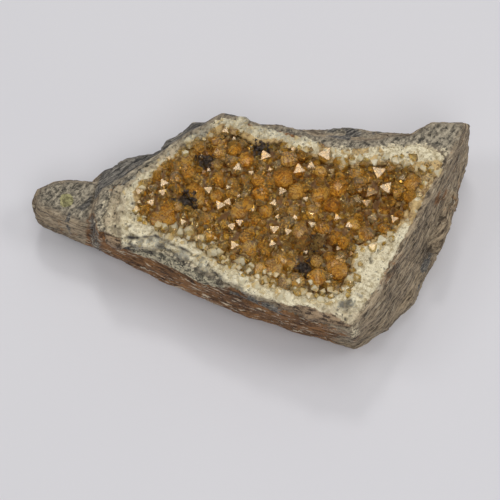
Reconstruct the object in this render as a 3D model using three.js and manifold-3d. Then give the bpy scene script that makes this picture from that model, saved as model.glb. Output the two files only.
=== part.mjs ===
// A hand specimen: a crust of amber fluorite crystals in a shallow hollow of a pale granular vein,
// on a block of grey-brown foliated wall rock with a knob at its left end.
// Frame: millimetres, +Z up, +X to the specimen's right, -Y towards the viewer.
// The origin lies on the flat underside that the specimen rests on, below the middle of the block.

import * as THREE from "three";
import { mergeVertices } from "three/addons/utils/BufferGeometryUtils.js";
import Module from "manifold-3d";

const wasm = await Module();
wasm.setup();

const WELD = 1e-3; // points nearer than this are one

// Heights above the table
const BED_HEIGHT = 14.2; // underside of the vein, in its seat in the wall rock
const HOLLOW_HEIGHT = 15.5; // floor of the vein's shallow hollow
const CRUST_HEIGHT = 16.5; // mean height that the crystals grow at
const CRUST_RELIEF = 0.3; // how far that height swells and sinks
const SEAT_GAP = 0.3; // clearance where one piece sits on another
const HOLLOW_MARGIN = 0.3; // the hollow's floor is this much narrower than its mouth

// Wall rock
const SIDE_STEPS = 3; // columns along each stretch of the outline
const KNOB_STEPS = 2; // and along each stretch of the knob's
const LAYERS = 6; // beds of the foliation between the underside and the brow
const BED_STEP = 0.14; // height of the narrow tread between two beds
const BROW_STEP = 0.01; // the last tread stays this far below the brow
const BED_WAVE = 0.42; // share of the relief that runs in waves along a bed
const BED_CHIPS = 0.7; // and share that is chips
const UNDERSIDE_BEVEL = 0.7; // height of the bevel round the underside
const HUB = new THREE.Vector2(5, -1); // the outlines are seen whole from this point

// The block's outline, anticlockwise from the foot of the knob's groove. Each corner has three points
// as x, y and height: the belly, where the side stands out furthest, the brow, which is the upper edge,
// and the rim, which is the vein's upper edge. Then comes how far the underside lies inside the belly,
// and the relief of the foliation there.
const CORNERS = [
  ["groove low", [-24.6, -2, 7], [-22.8, -3.3, 12.6], [-20.7, -4.1, 14.4], 3.6, 0.3],
  ["front left", [-16.4, -6.2, 7], [-13.7, -6.3, 14.2], [-12.9, -4.9, 15.7], 3.8, 0.3],
  ["front bend", [-8.3, -10, 7], [-6.7, -10.3, 14.6], [-6.4, -9, 16.1], 3.6, 0.35],
  ["front middle", [0, -13.4, 6.5], [0.6, -13.9, 14.6], [0.6, -12.8, 16.3], 3.4, 0.35],
  ["front right", [8.9, -16, 6], [9.1, -17.4, 14.7], [9.1, -16.4, 16.3], 3, 0.35],
  ["toe", [16.2, -17.6, 4], [15.1, -19, 14.9], [14.6, -17.9, 16.1], 1.8, 0.4],
  ["right low", [21.4, -14.7, 4], [17.1, -16.6, 15.3], [16.2, -15.9, 16.2], 1.2, 0.45],
  ["right lower", [25.4, -10, 4], [19.7, -12.1, 15.7], [18.8, -11.7, 16.5], 1, 0.45],
  ["right middle", [29.1, -3.6, 4], [23.3, -5.6, 15.9], [22.4, -5.3, 16.6], 1, 0.45],
  ["right upper", [32.6, 5.6, 4], [26.8, 1.2, 15.9], [25.9, 1.4, 16.6], 1, 0.45],
  ["right top", [34.8, 12.2, 5], [30.4, 7.6, 16.2], [28.8, 6.5, 16.7], 1.4, 0.5],
  ["horn tip", [34.8, 16.9, 11], [33.3, 14.2, 16.8], [29.6, 9.3, 16.7], 3.6, 0.3],
  ["horn root", [28.6, 16.8, 11.5], [28.1, 14.2, 16.7], [27, 10.2, 16.8], 3.4, 0.3],
  ["saddle", [25.4, 15.2, 11], [25, 12.2, 16.3], [24.3, 9.9, 16.8], 2.6, 0.4],
  ["back right", [19.8, 16.3, 10], [19.6, 11.9, 16.1], [19.2, 9.9, 16.8], 2.6, 0.5],
  ["back middle", [14, 16.5, 10], [13.5, 11.6, 16.1], [13.5, 9.4, 16.7], 2.6, 0.5],
  ["back left", [8, 16.4, 10], [7.6, 12.9, 16.3], [7.6, 11.6, 16.8], 2.6, 0.5],
  ["back dip", [1.9, 16.3, 12], [1.8, 14, 16.5], [1.8, 13.1, 16.9], 3, 0.4],
  ["peak", [-4.4, 17.8, 13], [-4.3, 15.9, 16.5], [-4.2, 15.1, 17], 4, 0.4],
  ["ledge end", [-8.7, 17, 11], [-8.2, 13.8, 16.2], [-7.9, 12.8, 16.7], 3.4, 0.7],
  ["ledge step", [-12.4, 14.2, 9], [-12, 11.1, 15.7], [-11.7, 10, 16.4], 2.6, 0.6],
  ["ledge middle", [-16.4, 12.3, 8], [-15.4, 8.6, 15.3], [-15, 7.3, 16.1], 2.6, 0.6],
  ["ledge start", [-22.3, 10.9, 8], [-19.7, 6.2, 14.2], [-18.2, 4.6, 15.4], 3, 0.6],
  ["groove top", [-24.9, 9.1, 7.3], [-22.9, 4.4, 13.3], [-20.6, 2.6, 14.9], 3.4, 0.4],
  ["groove", [-26.1, 3.1, 7], [-24, 0.7, 12.8], [-21.7, -0.8, 14.4], 3.2, 0.3],
];

// Knob at the left end, lower than the crystal face: its widest outline, anticlockwise from its left
// tip, and how it rounds off above and below that. It runs on into the block at its right.
const KNOB = {
  outline: [[-34.3, 4.6], [-33.6, 2.7], [-29.8, 1], [-25.4, -0.9], [-21, -1.8], [-18.6, 3.4], [-21.8, 8],
    [-27.2, 8.2], [-31.3, 8], [-33.7, 6.8]],
  centre: [-27.6, 3.9, 6.4],
  rise: 4.6, // height of its top above its widest outline
  drop: 4.8, // depth of its bottom below that
  squareness: 0.3, // 1 is an ellipsoid, 0 a slab
  rings: 7,
  rough: 0.04, // unevenness as a share of its size
};
const KNOB_GRAIN = { centre: [-28.4, 3.8, 10.6], radius: 0.9 };

// Slabs of foliation that stand out of the side faces: place, length, width, height, turn in degrees
const LEDGES = [
  { centre: [-16.7, 9.3, 11.6], size: [10, 3.6, 1.3], turn: 16 },
  { centre: [-11, 12.3, 13.2], size: [6, 3, 1.4], turn: 33 },
  { centre: [30.2, 1.2, 8.6], size: [11, 2.4, 1.2], turn: 70 },
  { centre: [15.4, 14.3, 12.4], size: [9, 2.4, 1.2], turn: -3 },
  { centre: [2.6, -13.6, 9.6], size: [12, 1.6, 1.1], turn: -20 },
];

// The hollow that the crystals fill, anticlockwise from its left end
const HOLLOW = [
  [-17.7, 2.8], [-16.8, -0.7], [-15, -2.6], [-11.2, -3.6], [-7.6, -5.4], [-5.7, -7.4], [-2.7, -8.9],
  [0.3, -10.9], [3.7, -12], [7.4, -13.2], [11.1, -13.4], [14, -12.6], [15.1, -9.9], [15.6, -6.4],
  [18.8, -5.3], [21.6, -3.8], [23.6, -0.9], [25.4, 2.6], [27.2, 5.8], [21.7, 7.8], [15.3, 7.7],
  [11.6, 8.7], [8.4, 9.6], [4.6, 11.7], [1.2, 11.6], [-1.9, 13.4], [-4.3, 13.9], [-6.8, 11.6],
  [-9.8, 9.9], [-12.8, 7.7], [-15.2, 5.1],
];
const RIM_WIDTH = 0.8; // least width of the vein between the hollow and its own edge
const RIM_ROUND = 0.35; // how far the vein's outer edge lies below its rim
const RIM_RELIEF = 0.28; // unevenness of the rim
const RIM_DEPTH = 1.6; // least depth of the vein at its outer edge
const BRINK_DROP = 0.2; // the hollow's edge lies this far below the rim
const BRINK_HEIGHT = 0.6; // and at least this far above the hollow's floor

// Blocky lumps of the vein that stand on its rim: x, y and radius
const RIM_LUMPS = [
  [14.6, 8.9, 1.3], [20.6, 8.9, 1.5], [24.4, 8.2, 1.7], [27.6, 7.6, 1.4], [1.6, 12.3, 1.3],
  [-1.2, 14.1, 1.2], [-6.3, -8.3, 1.1], [-3.5, -10.3, 1.2], [0.9, -11.9, 1.3], [5.2, -13.7, 1.4],
  [10.9, -15, 1.6], [17.6, -8.2, 2], [-18.6, 0.4, 1.4], [-14.2, -3.6, 1.2], [-19.4, 3.4, 1.1],
  [15.2, -15.3, 1.3],
];
const LUMP_SINK = 0.5; // share of its radius that a lump's centre lies below the rim

// Crystals
const FACE_UP = new THREE.Vector3(-0.03, 0.07, 1).normalize(); // the way that flat faces on top look
const SINK = 0.15; // share of its radius that a crystal's centre lies below the height it grows at

// Crystals that turn one flat face up: x, y, radius and turn of the face in degrees
const TABLE_FACED = [
  [-1.7, 6.5, 1.5, 95], [-4.8, 0.5, 1.3, 20], [-3.3, 0.7, 1.05, 80], [-6.2, 2.6, 1.1, 50],
  [-12.8, 4.2, 1.05, 10], [-14.6, 0.9, 1, 70], [-13.2, 2.2, 1.15, 180], [-9.9, -2.2, 1.05, 140],
  [-2.1, -6.4, 1.55, 15], [3.7, -3.6, 1.3, 40], [3.6, -5.6, 1.15, 0], [2.1, 8.5, 1.15, 5],
  [4.9, 2.7, 1.15, 130], [-2.4, -3.4, 1, 60], [-1.2, -2.5, 0.9, 165], [-16.6, 2.9, 1, 30],
  [-4, 13.1, 1.05, 90], [7.8, 6.1, 1.35, 110], [9.1, 6.7, 1.05, 100], [11.7, 8.6, 1.7, 190],
  [20.8, 3.3, 1.45, 60], [19.6, 5.8, 1.7, 150], [18.6, 2.5, 1.45, 0], [17.3, 0.8, 1.3, 45],
  [13.1, -1.5, 1, 120], [18.7, -1.9, 1.3, 75], [21.6, -2, 1.15, 20], [14.6, -2.7, 0.9, 100],
];

// Stout rounded crystals: x, y and radius
const STOUT_CUT = 0.6; // share of its radius at which a stout crystal's corners are cut off
const STOUT = [
  [-0.7, 8.3, 1.4], [-9.6, 8, 1.4], [-9.3, 6, 1.5], [-8.8, 3.5, 1.7], [2.4, -0.4, 1.35],
  [-5.9, -4.3, 1.4], [0.2, -5.9, 1.3], [-14.3, -1.4, 1.2], [5.2, 5.7, 1.8], [6.8, 2.8, 1.6],
  [12.1, 0.8, 1.4], [10.3, 2.6, 1.5], [13.3, 3.2, 1.7], [15.9, 1, 1.25], [15.5, -2.6, 1.2],
  [7.4, -3.2, 1.7], [6.5, -0.2, 1.35], [9.3, -0.3, 1.3], [16, 5.9, 1.3], [11, 6.2, 1.3],
  [10.2, -8, 1.4], [12.7, -9.6, 1.9], [7, -11.6, 1.35], [5.6, -2, 1.2], [-4.6, 9.6, 1.4],
  [-12.4, 0.6, 1.2],
];

// Places where the crust sinks to dark grains between the crystals: x, y and radius
const DARK_DIPS = [[-6.8, 8.1, 1.5], [1.6, 10.4, 1.4], [-9.6, 1.7, 1.7], [8, -9.3, 1.4], [10.4, -5.4, 1.8]];
const DIP_DEPTH = 0.6;

// Crystals that fill the space between those above
const FILL_TRIES = 900;
const FILL_CORNER = [-18, -14]; // of the box that the tries fall in
const FILL_SPAN = [46, 29];
const SPREAD = [0.7548776662, 0.569840291]; // steps of an even spread over a square
const FILL_RADIUS = [0.9, 1.5];
const FILL_CROWDING = 0.65; // least distance between centres, as a share of the two radii together
const FILL_MARGIN = 0.5; // least distance from a centre to the hollow's edge

// A number from 0 to 1 that looks random and is the same each run.
function chance(index, channel) {
  const wave = Math.sin(index * 12.9898 + channel * 78.233) * 43758.5453;
  return wave - Math.floor(wave);
}

// Slow unevenness from -1 to 1.
function swell(x, y, z) {
  const a = Math.sin(0.41 * x + 0.23 * y + 1.3 * z);
  const b = Math.sin(-0.27 * x + 0.52 * y + 0.7 * z + 1.9);
  const c = Math.sin(0.83 * x - 0.61 * y - 0.4 * z + 4.2);
  return (a + b + c) / 3;
}

// A closed geometry as a manifold solid.
function solidOf(geometry) {
  const bare = new THREE.BufferGeometry();
  const source = geometry.index ? geometry.toNonIndexed() : geometry;
  bare.setAttribute("position", source.getAttribute("position"));
  const welded = mergeVertices(bare, WELD);
  const mesh = new wasm.Mesh({
    numProp: 3,
    vertProperties: welded.getAttribute("position").array,
    triVerts: new Uint32Array(welded.index.array),
  });
  return new wasm.Manifold(mesh);
}

// A manifold solid as a geometry with flat faces.
function geometryOf(solid) {
  const mesh = solid.getMesh();
  const geometry = new THREE.BufferGeometry();
  geometry.setAttribute("position", new THREE.BufferAttribute(mesh.vertProperties, 3));
  geometry.setIndex(new THREE.BufferAttribute(mesh.triVerts, 1));
  const flat = geometry.toNonIndexed();
  flat.computeVertexNormals();
  return flat;
}

// The solid's largest body, without crumbs that a cut left behind.
function largestBody(solid) {
  const bodies = solidOf(geometryOf(solid)).decompose();
  return bodies.reduce((best, body) => (body.volume() > best.volume() ? body : best));
}

// A solid closed by stitching rings of equal length, from the lowest hub up to the highest.
function stitch(rings, lowHub, highHub) {
  const count = rings[0].length;
  const points = [...rings.flat(), lowHub, highHub];
  const low = rings.length * count;
  const high = low + 1;
  const index = [];
  for (let i = 0; i < count; i += 1) {
    const next = (i + 1) % count;
    index.push(low, next, i);
    for (let r = 0; r + 1 < rings.length; r += 1) {
      const a = r * count + i;
      const b = r * count + next;
      const c = (r + 1) * count + next;
      const d = (r + 1) * count + i;
      index.push(a, b, c, a, c, d);
    }
    const last = (rings.length - 1) * count;
    index.push(last + i, last + next, high);
  }
  const geometry = new THREE.BufferGeometry().setFromPoints(points);
  geometry.setIndex(index);
  return solidOf(geometry);
}

// The corners' values at every column of the outline.
function columnsOf(corners, steps) {
  return corners.flatMap(([, belly, brow, rim, foot, rough], i) => {
    const [, nextBelly, nextBrow, nextRim, nextFoot, nextRough] = corners[(i + 1) % corners.length];
    const between = (from, to, t) => new THREE.Vector3(...from).lerp(new THREE.Vector3(...to), t);
    return Array.from({ length: steps }, (_, step) => {
      const t = step / steps;
      return {
        belly: between(belly, nextBelly, t),
        brow: between(brow, nextBrow, t),
        rim: between(rim, nextRim, t),
        foot: THREE.MathUtils.lerp(foot, nextFoot, t),
        rough: THREE.MathUtils.lerp(rough, nextRough, t),
      };
    });
  });
}

// A closed outline with steps points along each of its sides.
function columnsBetween(corners, steps) {
  return corners.flatMap((corner, i) => {
    const next = corners[(i + 1) % corners.length];
    return Array.from({ length: steps }, (_, s) => corner.clone().lerp(next, s / steps));
  });
}

// Unit vectors that point into a closed outline at each of its points.
function inwardOf(outline) {
  const count = outline.length;
  return outline.map((_, i) => {
    const before = outline[(i + count - 2) % count];
    const after = outline[(i + 2) % count];
    return new THREE.Vector2(before.y - after.y, after.x - before.x).normalize();
  });
}

const flatten = (point) => new THREE.Vector2(point.x, point.y);
const raise = (point, z) => new THREE.Vector3(point.x, point.y, z);
const columns = columnsOf(CORNERS, SIDE_STEPS);
const bellyInward = inwardOf(columns.map((column) => flatten(column.belly)));
const rimInward = inwardOf(columns.map((column) => flatten(column.rim)));

// The vein's outline, moved outwards by grow.
function veinOutline(grow) {
  return columns.map((column, i) => flatten(column.rim).addScaledVector(rimInward[i], -grow));
}

// Distance from the hub to a closed outline, the way that a unit vector points.
function reach(outline, way) {
  let far = 0;
  outline.forEach((a, i) => {
    const b = outline[(i + 1) % outline.length];
    const side = b.clone().sub(a);
    const from = a.clone().sub(HUB);
    const spread = way.cross(side);
    const along = from.cross(side) / spread;
    const share = from.cross(way) / spread;
    if (along > 0 && share >= 0 && share <= 1) far = Math.max(far, along);
  });
  return far;
}

const hollowOutline = HOLLOW.map(([x, y]) => new THREE.Vector2(x, y));

// The hollow's edge at each column of the vein, moved outwards by grow.
function hollowEdge(grow) {
  return veinOutline(0).map((point) => {
    const way = point.clone().sub(HUB);
    const most = way.length() - RIM_WIDTH;
    way.normalize();
    return HUB.clone().addScaledVector(way, Math.min(reach(hollowOutline, way), most) + grow);
  });
}

// A point of the block's side at one height of one column.
function sidePoint(column, inward, z) {
  const foot = column.belly.clone().setZ(0);
  foot.x += inward.x * column.foot;
  foot.y += inward.y * column.foot;
  const low = z < column.belly.z;
  const start = low ? foot : column.belly;
  const end = low ? column.belly : column.brow;
  const t = (z - start.z) / (end.z - start.z);
  const point = start.clone().lerp(end, low ? Math.sin((t * Math.PI) / 2) : t);
  return point.setZ(z);
}

// The block: beds of foliation stacked from the underside to the brow.
function blockSolid() {
  const rings = [];
  const ringAt = (place) => rings.push(columns.map(place));
  ringAt((column, i) => sidePoint(column, bellyInward[i], 0));
  for (let layer = 0; layer < LAYERS; layer += 1) {
    [0, 1].forEach((top) => {
      ringAt((column, i) => {
        const span = column.brow.z - UNDERSIDE_BEVEL;
        const edge = UNDERSIDE_BEVEL + (span * (layer + top)) / LAYERS;
        const z = top ? edge : Math.min(edge + BED_STEP, column.brow.z - BROW_STEP);
        const point = sidePoint(column, bellyInward[i], z);
        const bed = Math.sin(i * 0.55 + layer * 2.4) + 0.8 * Math.sin(i * 1.3 + layer * 5.1);
        const out = column.rough * (BED_WAVE * bed + BED_CHIPS * (chance(i, layer) - 0.5));
        point.x -= bellyInward[i].x * out;
        point.y -= bellyInward[i].y * out;
        return point;
      });
    });
  }
  return stitch(rings, raise(HUB, 0), raise(HUB, BED_HEIGHT));
}

// The knob: rings of its outline, drawn in towards the top and the bottom.
function knobSolid() {
  const [x, y, z] = KNOB.centre;
  const outline = columnsBetween(KNOB.outline.map((point) => new THREE.Vector2(...point)), KNOB_STEPS);
  const rings = Array.from({ length: KNOB.rings }, (_, r) => {
    const angle = Math.PI * ((r + 0.5) / KNOB.rings - 0.5);
    const spread = Math.cos(angle) ** KNOB.squareness;
    const lift = Math.sin(angle) * (angle < 0 ? KNOB.drop : KNOB.rise);
    return outline.map((point) => {
      const uneven = 1 + KNOB.rough * swell(1.7 * point.x, 1.7 * point.y, r);
      const out = spread * uneven;
      return new THREE.Vector3(x + (point.x - x) * out, y + (point.y - y) * out, z + lift);
    });
  });
  return stitch(rings, new THREE.Vector3(x, y, z - KNOB.drop), new THREE.Vector3(x, y, z + KNOB.rise));
}

// A slab of foliation with chipped corners.
function ledgeSolid({ centre, size, turn }) {
  const slab = new THREE.BoxGeometry(...size, 4, 1, 1);
  const place = slab.getAttribute("position");
  for (let i = 0; i < place.count; i += 1) {
    const [x, y, z] = [place.getX(i), place.getY(i), place.getZ(i)];
    const taper = 1 - 0.45 * (2 * Math.abs(x) / size[0]) ** 2;
    place.setXYZ(i, x, y * taper * (1 + 0.3 * swell(2 * x, centre[0], z)), z * taper);
  }
  slab.rotateZ(THREE.MathUtils.degToRad(turn));
  slab.translate(...centre);
  return solidOf(slab);
}

// An octahedron of radius 1 whose corners a cube of half width cut takes off.
function bluntOctahedron(cut) {
  const cube = new THREE.BoxGeometry(2 * cut, 2 * cut, 2 * cut);
  return geometryOf(solidOf(new THREE.OctahedronGeometry(1)).intersect(solidOf(cube)));
}

const FORMS = { sharp: new THREE.OctahedronGeometry(1), stout: bluntOctahedron(STOUT_CUT) };

// A turn that looks random.
function anyTurn(index) {
  const [a, b, c] = [3, 4, 5].map((channel) => 2 * Math.PI * chance(index, channel));
  return new THREE.Quaternion().setFromEuler(new THREE.Euler(a, b, c));
}

// A crystal form at a point, with a turn and a radius.
function placed(form, centre, turn, radius) {
  const matrix = new THREE.Matrix4().compose(centre, turn, new THREE.Vector3(radius, radius, radius));
  return solidOf(form.clone().applyMatrix4(matrix));
}

// Height of the vein's rim at the column nearest to a point.
function crestNear(x, y) {
  const distance = (column) => Math.hypot(column.rim.x - x, column.rim.y - y);
  return columns.reduce((best, column) => (distance(column) < distance(best) ? column : best)).rim.z;
}

// The vein: a crust with a shallow hollow and blocky lumps on its rim, swollen by grow on every side.
function veinSolid(grow) {
  const outline = veinOutline(grow);
  const edge = hollowEdge(-grow);
  // Height at a share of the way from the outline to the hollow's edge
  const height = (point, i, share) => {
    const rim = columns[i].rim.z;
    const brink = Math.max(rim - BRINK_DROP, HOLLOW_HEIGHT + BRINK_HEIGHT);
    return rim + (brink - rim) * share + RIM_RELIEF * swell(1.9 * point.x, 1.9 * point.y, 1) + grow;
  };
  const ringAt = (share) => outline.map((point, i) => point.clone().lerp(edge[i], share));
  const ringOf = (points, heightAt) => points.map((point, i) => raise(point, heightAt(point, i)));
  const rings = [
    ringOf(outline, (_, i) => Math.min(BED_HEIGHT, columns[i].rim.z - RIM_DEPTH) - grow),
    ringOf(outline, (point, i) => height(point, i, 0) - RIM_ROUND),
    ...[0.3, 0.75, 1].map((share) => ringOf(ringAt(share), (point, i) => height(point, i, share))),
    ringOf(hollowEdge(-grow - HOLLOW_MARGIN), () => HOLLOW_HEIGHT + grow),
  ];
  const crust = stitch(rings, raise(HUB, BED_HEIGHT - grow), raise(HUB, HOLLOW_HEIGHT + grow));
  const lumps = RIM_LUMPS.map(([x, y, radius], i) => {
    const centre = new THREE.Vector3(x, y, crestNear(x, y) - LUMP_SINK * radius);
    return placed(FORMS.stout, centre, anyTurn(i), radius + grow);
  });
  return largestBody(wasm.Manifold.union([crust, ...lumps]));
}

// Height of the crystals' centres above a point of the crust.
function growthHeight(x, y, radius) {
  const dips = DARK_DIPS.map(([dx, dy, size]) => Math.exp(-((x - dx) ** 2 + (y - dy) ** 2) / size ** 2));
  const relief = CRUST_RELIEF * swell(1.1 * x, 1.1 * y, 5) - DIP_DEPTH * Math.max(...dips);
  return CRUST_HEIGHT + relief - SINK * radius;
}

// Distance from a point to the hollow's edge, less than 0 outside it.
function depthInside(x, y) {
  const way = new THREE.Vector2(x, y).sub(HUB);
  const distance = way.length();
  return reach(hollowOutline, way.normalize()) - distance;
}

// Places, sizes and turns of the crystals.
function crystals() {
  const flatFace = new THREE.Vector3(1, 1, 1).normalize();
  const faceUp = new THREE.Quaternion().setFromUnitVectors(flatFace, FACE_UP);
  const made = TABLE_FACED.map(([x, y, radius, degrees]) => {
    const spin = new THREE.Quaternion().setFromAxisAngle(FACE_UP, THREE.MathUtils.degToRad(degrees));
    return { x, y, radius, form: "sharp", turn: spin.multiply(faceUp) };
  });
  STOUT.forEach(([x, y, radius], i) => {
    made.push({ x, y, radius, form: "stout", turn: anyTurn(i + FILL_TRIES) });
  });
  for (let i = 0; i < FILL_TRIES; i += 1) {
    const x = FILL_CORNER[0] + FILL_SPAN[0] * ((0.5 + i * SPREAD[0]) % 1);
    const y = FILL_CORNER[1] + FILL_SPAN[1] * ((0.5 + i * SPREAD[1]) % 1);
    const radius = THREE.MathUtils.lerp(...FILL_RADIUS, chance(i, 6));
    const clear = (other) => Math.hypot(other.x - x, other.y - y) > FILL_CROWDING * (other.radius + radius);
    if (depthInside(x, y) > FILL_MARGIN && made.every(clear)) {
      made.push({ x, y, radius, form: "sharp", turn: anyTurn(i) });
    }
  }
  return made;
}

// The crust of crystals, kept clear of the vein.
function druseSolid() {
  const edge = hollowEdge(-SEAT_GAP);
  const [low, high] = [HOLLOW_HEIGHT - SEAT_GAP, CRUST_HEIGHT - CRUST_RELIEF];
  const rings = [low, high].map((z) => edge.map((point) => raise(point, z)));
  const slab = stitch(rings, raise(HUB, low), raise(HUB, high));
  const grown = crystals().map(({ x, y, radius, form, turn }) => {
    return placed(FORMS[form], new THREE.Vector3(x, y, growthHeight(x, y, radius)), turn, radius);
  });
  const cluster = wasm.Manifold.union([slab, ...grown]);
  return largestBody(cluster.subtract(veinSolid(SEAT_GAP)));
}

// A named mesh in the part's own frame.
function piece(name, solid, material) {
  const mesh = new THREE.Mesh(geometryOf(solid), new THREE.MeshStandardMaterial(material));
  mesh.name = name;
  return mesh;
}

const grainCentre = new THREE.Vector3(...KNOB_GRAIN.centre);
const grain = placed(FORMS.stout, grainCentre, new THREE.Quaternion(), KNOB_GRAIN.radius);
const wallRock = wasm.Manifold.union([blockSolid(), knobSolid(), grain, ...LEDGES.map(ledgeSolid)]);
const seatedRock = largestBody(wallRock.subtract(veinSolid(SEAT_GAP)));

const ROCK = { color: 0x6f6453, roughness: 0.9 };
const VEIN = { color: 0xc2b08b, roughness: 0.8 };
const FLUORITE = { color: 0xb4761f, roughness: 0.25, transparent: true, opacity: 0.9 };

const specimen = new THREE.Group();
specimen.name = "fluorite_specimen";
specimen.add(
  piece("wall_rock", seatedRock, ROCK),
  piece("vein_crust", veinSolid(0), VEIN),
  piece("fluorite_druse", druseSolid(), FLUORITE),
);

export default specimen;
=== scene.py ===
"""A fluorite specimen: amber crystals in the hollow of a pale granular vein, on grey-brown wall rock.

The solids of the frame give every piece its place and size. Each skin below is one of those solids, made
fine and worked in millimetres, and the crystals are grown again where the frame's crust has them.
"""
import itertools
import logging
import math
from collections.abc import Mapping, Sequence
from dataclasses import dataclass, replace
from enum import Enum
from typing import Any

import bmesh
import bpy
import numpy as np
from mathutils import Matrix, Quaternion, Vector
from mathutils.bvhtree import BVHTree


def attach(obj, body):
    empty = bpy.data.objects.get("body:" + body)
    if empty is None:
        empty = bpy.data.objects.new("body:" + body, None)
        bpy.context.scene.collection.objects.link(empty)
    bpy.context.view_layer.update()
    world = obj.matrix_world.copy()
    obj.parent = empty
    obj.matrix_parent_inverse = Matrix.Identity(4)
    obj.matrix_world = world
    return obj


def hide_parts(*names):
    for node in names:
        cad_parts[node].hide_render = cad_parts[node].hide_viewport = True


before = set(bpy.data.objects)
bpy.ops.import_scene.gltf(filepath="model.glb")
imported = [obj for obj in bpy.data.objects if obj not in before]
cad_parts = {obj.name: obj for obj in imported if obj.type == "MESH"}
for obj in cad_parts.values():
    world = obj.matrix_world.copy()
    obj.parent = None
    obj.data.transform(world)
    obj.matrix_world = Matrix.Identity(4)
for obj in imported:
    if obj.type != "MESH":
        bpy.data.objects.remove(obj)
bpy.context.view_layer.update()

log = logging.getLogger("fluorite_specimen")

Colour = tuple[float, float, float]
MM = 1000.0  # millimetres in a metre
BODY = "root"
CHUNK = 4000  # how many points are measured at once

# The hollow that the crystals fill, in millimetres, as the solids have it
HUB = np.array([5.0, -1.0])  # the outline is seen whole from here
HOLLOW = np.array([
    [-17.7, 2.8], [-16.8, -0.7], [-15, -2.6], [-11.2, -3.6], [-7.6, -5.4], [-5.7, -7.4], [-2.7, -8.9],
    [0.3, -10.9], [3.7, -12], [7.4, -13.2], [11.1, -13.4], [14, -12.6], [15.1, -9.9], [15.6, -6.4],
    [18.8, -5.3], [21.6, -3.8], [23.6, -0.9], [25.4, 2.6], [27.2, 5.8], [21.7, 7.8], [15.3, 7.7],
    [11.6, 8.7], [8.4, 9.6], [4.6, 11.7], [1.2, 11.6], [-1.9, 13.4], [-4.3, 13.9], [-6.8, 11.6],
    [-9.8, 9.9], [-12.8, 7.7], [-15.2, 5.1],
])
CRUST_HEIGHT = 16.5  # mean height that the crystals grow at
CRUST_RELIEF = 0.3
SINK = 0.15  # share of its radius that a crystal's centre lies below that height
FACE_UP = Vector((-0.03, 0.07, 1.0)).normalized()  # the way that flat faces on top look

# Crystals that turn one flat face up: x, y, radius and turn of the face in degrees
TABLE_FACED = [
    (-1.7, 6.5, 1.5, 95), (-4.8, 0.5, 1.3, 20), (-3.3, 0.7, 1.05, 80), (-6.2, 2.6, 1.1, 50),
    (-12.8, 4.2, 1.05, 10), (-14.6, 0.9, 1, 70), (-13.2, 2.2, 1.15, 180), (-9.9, -2.2, 1.05, 140),
    (-2.1, -6.4, 1.55, 15), (3.7, -3.6, 1.3, 40), (3.6, -5.6, 1.15, 0), (2.1, 8.5, 1.15, 5),
    (4.9, 2.7, 1.15, 130), (-2.4, -3.4, 1, 60), (-1.2, -2.5, 0.9, 165), (-16.6, 2.9, 1, 30),
    (-4, 13.1, 1.05, 90), (7.8, 6.1, 1.35, 110), (9.1, 6.7, 1.05, 100), (11.7, 8.6, 1.7, 190),
    (20.8, 3.3, 1.45, 60), (19.6, 5.8, 1.7, 150), (18.6, 2.5, 1.45, 0), (17.3, 0.8, 1.3, 45),
    (13.1, -1.5, 1, 120), (18.7, -1.9, 1.3, 75), (21.6, -2, 1.15, 20), (14.6, -2.7, 0.9, 100),
]

# Stout rounded crystals: x, y and radius
STOUT = [
    (-0.7, 8.3, 1.4), (-9.6, 8, 1.4), (-9.3, 6, 1.5), (-8.8, 3.5, 1.7), (2.4, -0.4, 1.35),
    (-5.9, -4.3, 1.4), (0.2, -5.9, 1.3), (-14.3, -1.4, 1.2), (5.2, 5.7, 1.8), (6.8, 2.8, 1.6),
    (12.1, 0.8, 1.4), (10.3, 2.6, 1.5), (13.3, 3.2, 1.7), (15.9, 1, 1.25), (15.5, -2.6, 1.2),
    (7.4, -3.2, 1.7), (6.5, -0.2, 1.35), (9.3, -0.3, 1.3), (16, 5.9, 1.3), (11, 6.2, 1.3),
    (10.2, -8, 1.4), (12.7, -9.6, 1.9), (7, -11.6, 1.35), (5.6, -2, 1.2), (-4.6, 9.6, 1.4),
    (-12.4, 0.6, 1.2),
]

# Places where the crust sinks to dark grains between the crystals: x, y and radius
DARK_DIPS = [(-6.8, 8.1, 1.5), (1.6, 10.4, 1.4), (-9.6, 1.7, 1.7), (8, -9.3, 1.4), (10.4, -5.4, 1.8)]
DIP_DEPTH = 0.6

# Lines along the front, each as x, and y plus the slope times the height: where the pale vein ends
FRONT_EDGE = ((-26.5, -22.5, -19.5, -18.2, -2.0, 2.0, 8.5, 12.0, 16.0),
              (2.8, 3.1, 2.0, -12.0, -12.0, -8.2, -9.0, -10.2, -12.8))
# and where its grey lower part begins
GREY_EDGE = ((-18.5, -14.3, -12.1, -9.0, -6.8, -6.0, -3.0, 0.7),
             (2.1, 2.2, 1.2, -0.4, -1.3, -3.0, -5.0, -7.6))
FRONT_SLOPE = 0.4

# Crystals that fill the space between those above
FILL_TRIES = 900
FILL_CORNER = np.array([-18.0, -14.0])
FILL_SPAN = np.array([46.0, 29.0])
SPREAD = np.array([0.7548776662, 0.569840291])  # steps of an even spread over a square
FILL_RADIUS = (0.9, 1.5)
FILL_CROWDING = 0.65
FILL_MARGIN = 0.5


class Zone(Enum):
    """A mask that a skin carries for its finish, by the name of its attribute."""

    RUST = "rust"
    SLATE = "slate"
    PALE = "pale"
    GRANULAR = "granular"
    OLIVE = "olive"
    # painted shade in recesses, along clefts and between grains, and the dark floor of the dark dips
    CREVICE = "crevice"
    STAIN = "stain"
    ASH = "ash"
    TAN = "tan"
    BED = "bed"
    # where light through the crystals is painted on the hollow's floor
    GLOW = "glow"
    FLAT = "flat"
    # how low each corner lies on its crystal, where shade is painted
    DEPTH = "depth"
    GROWTH = "growth"


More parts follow.
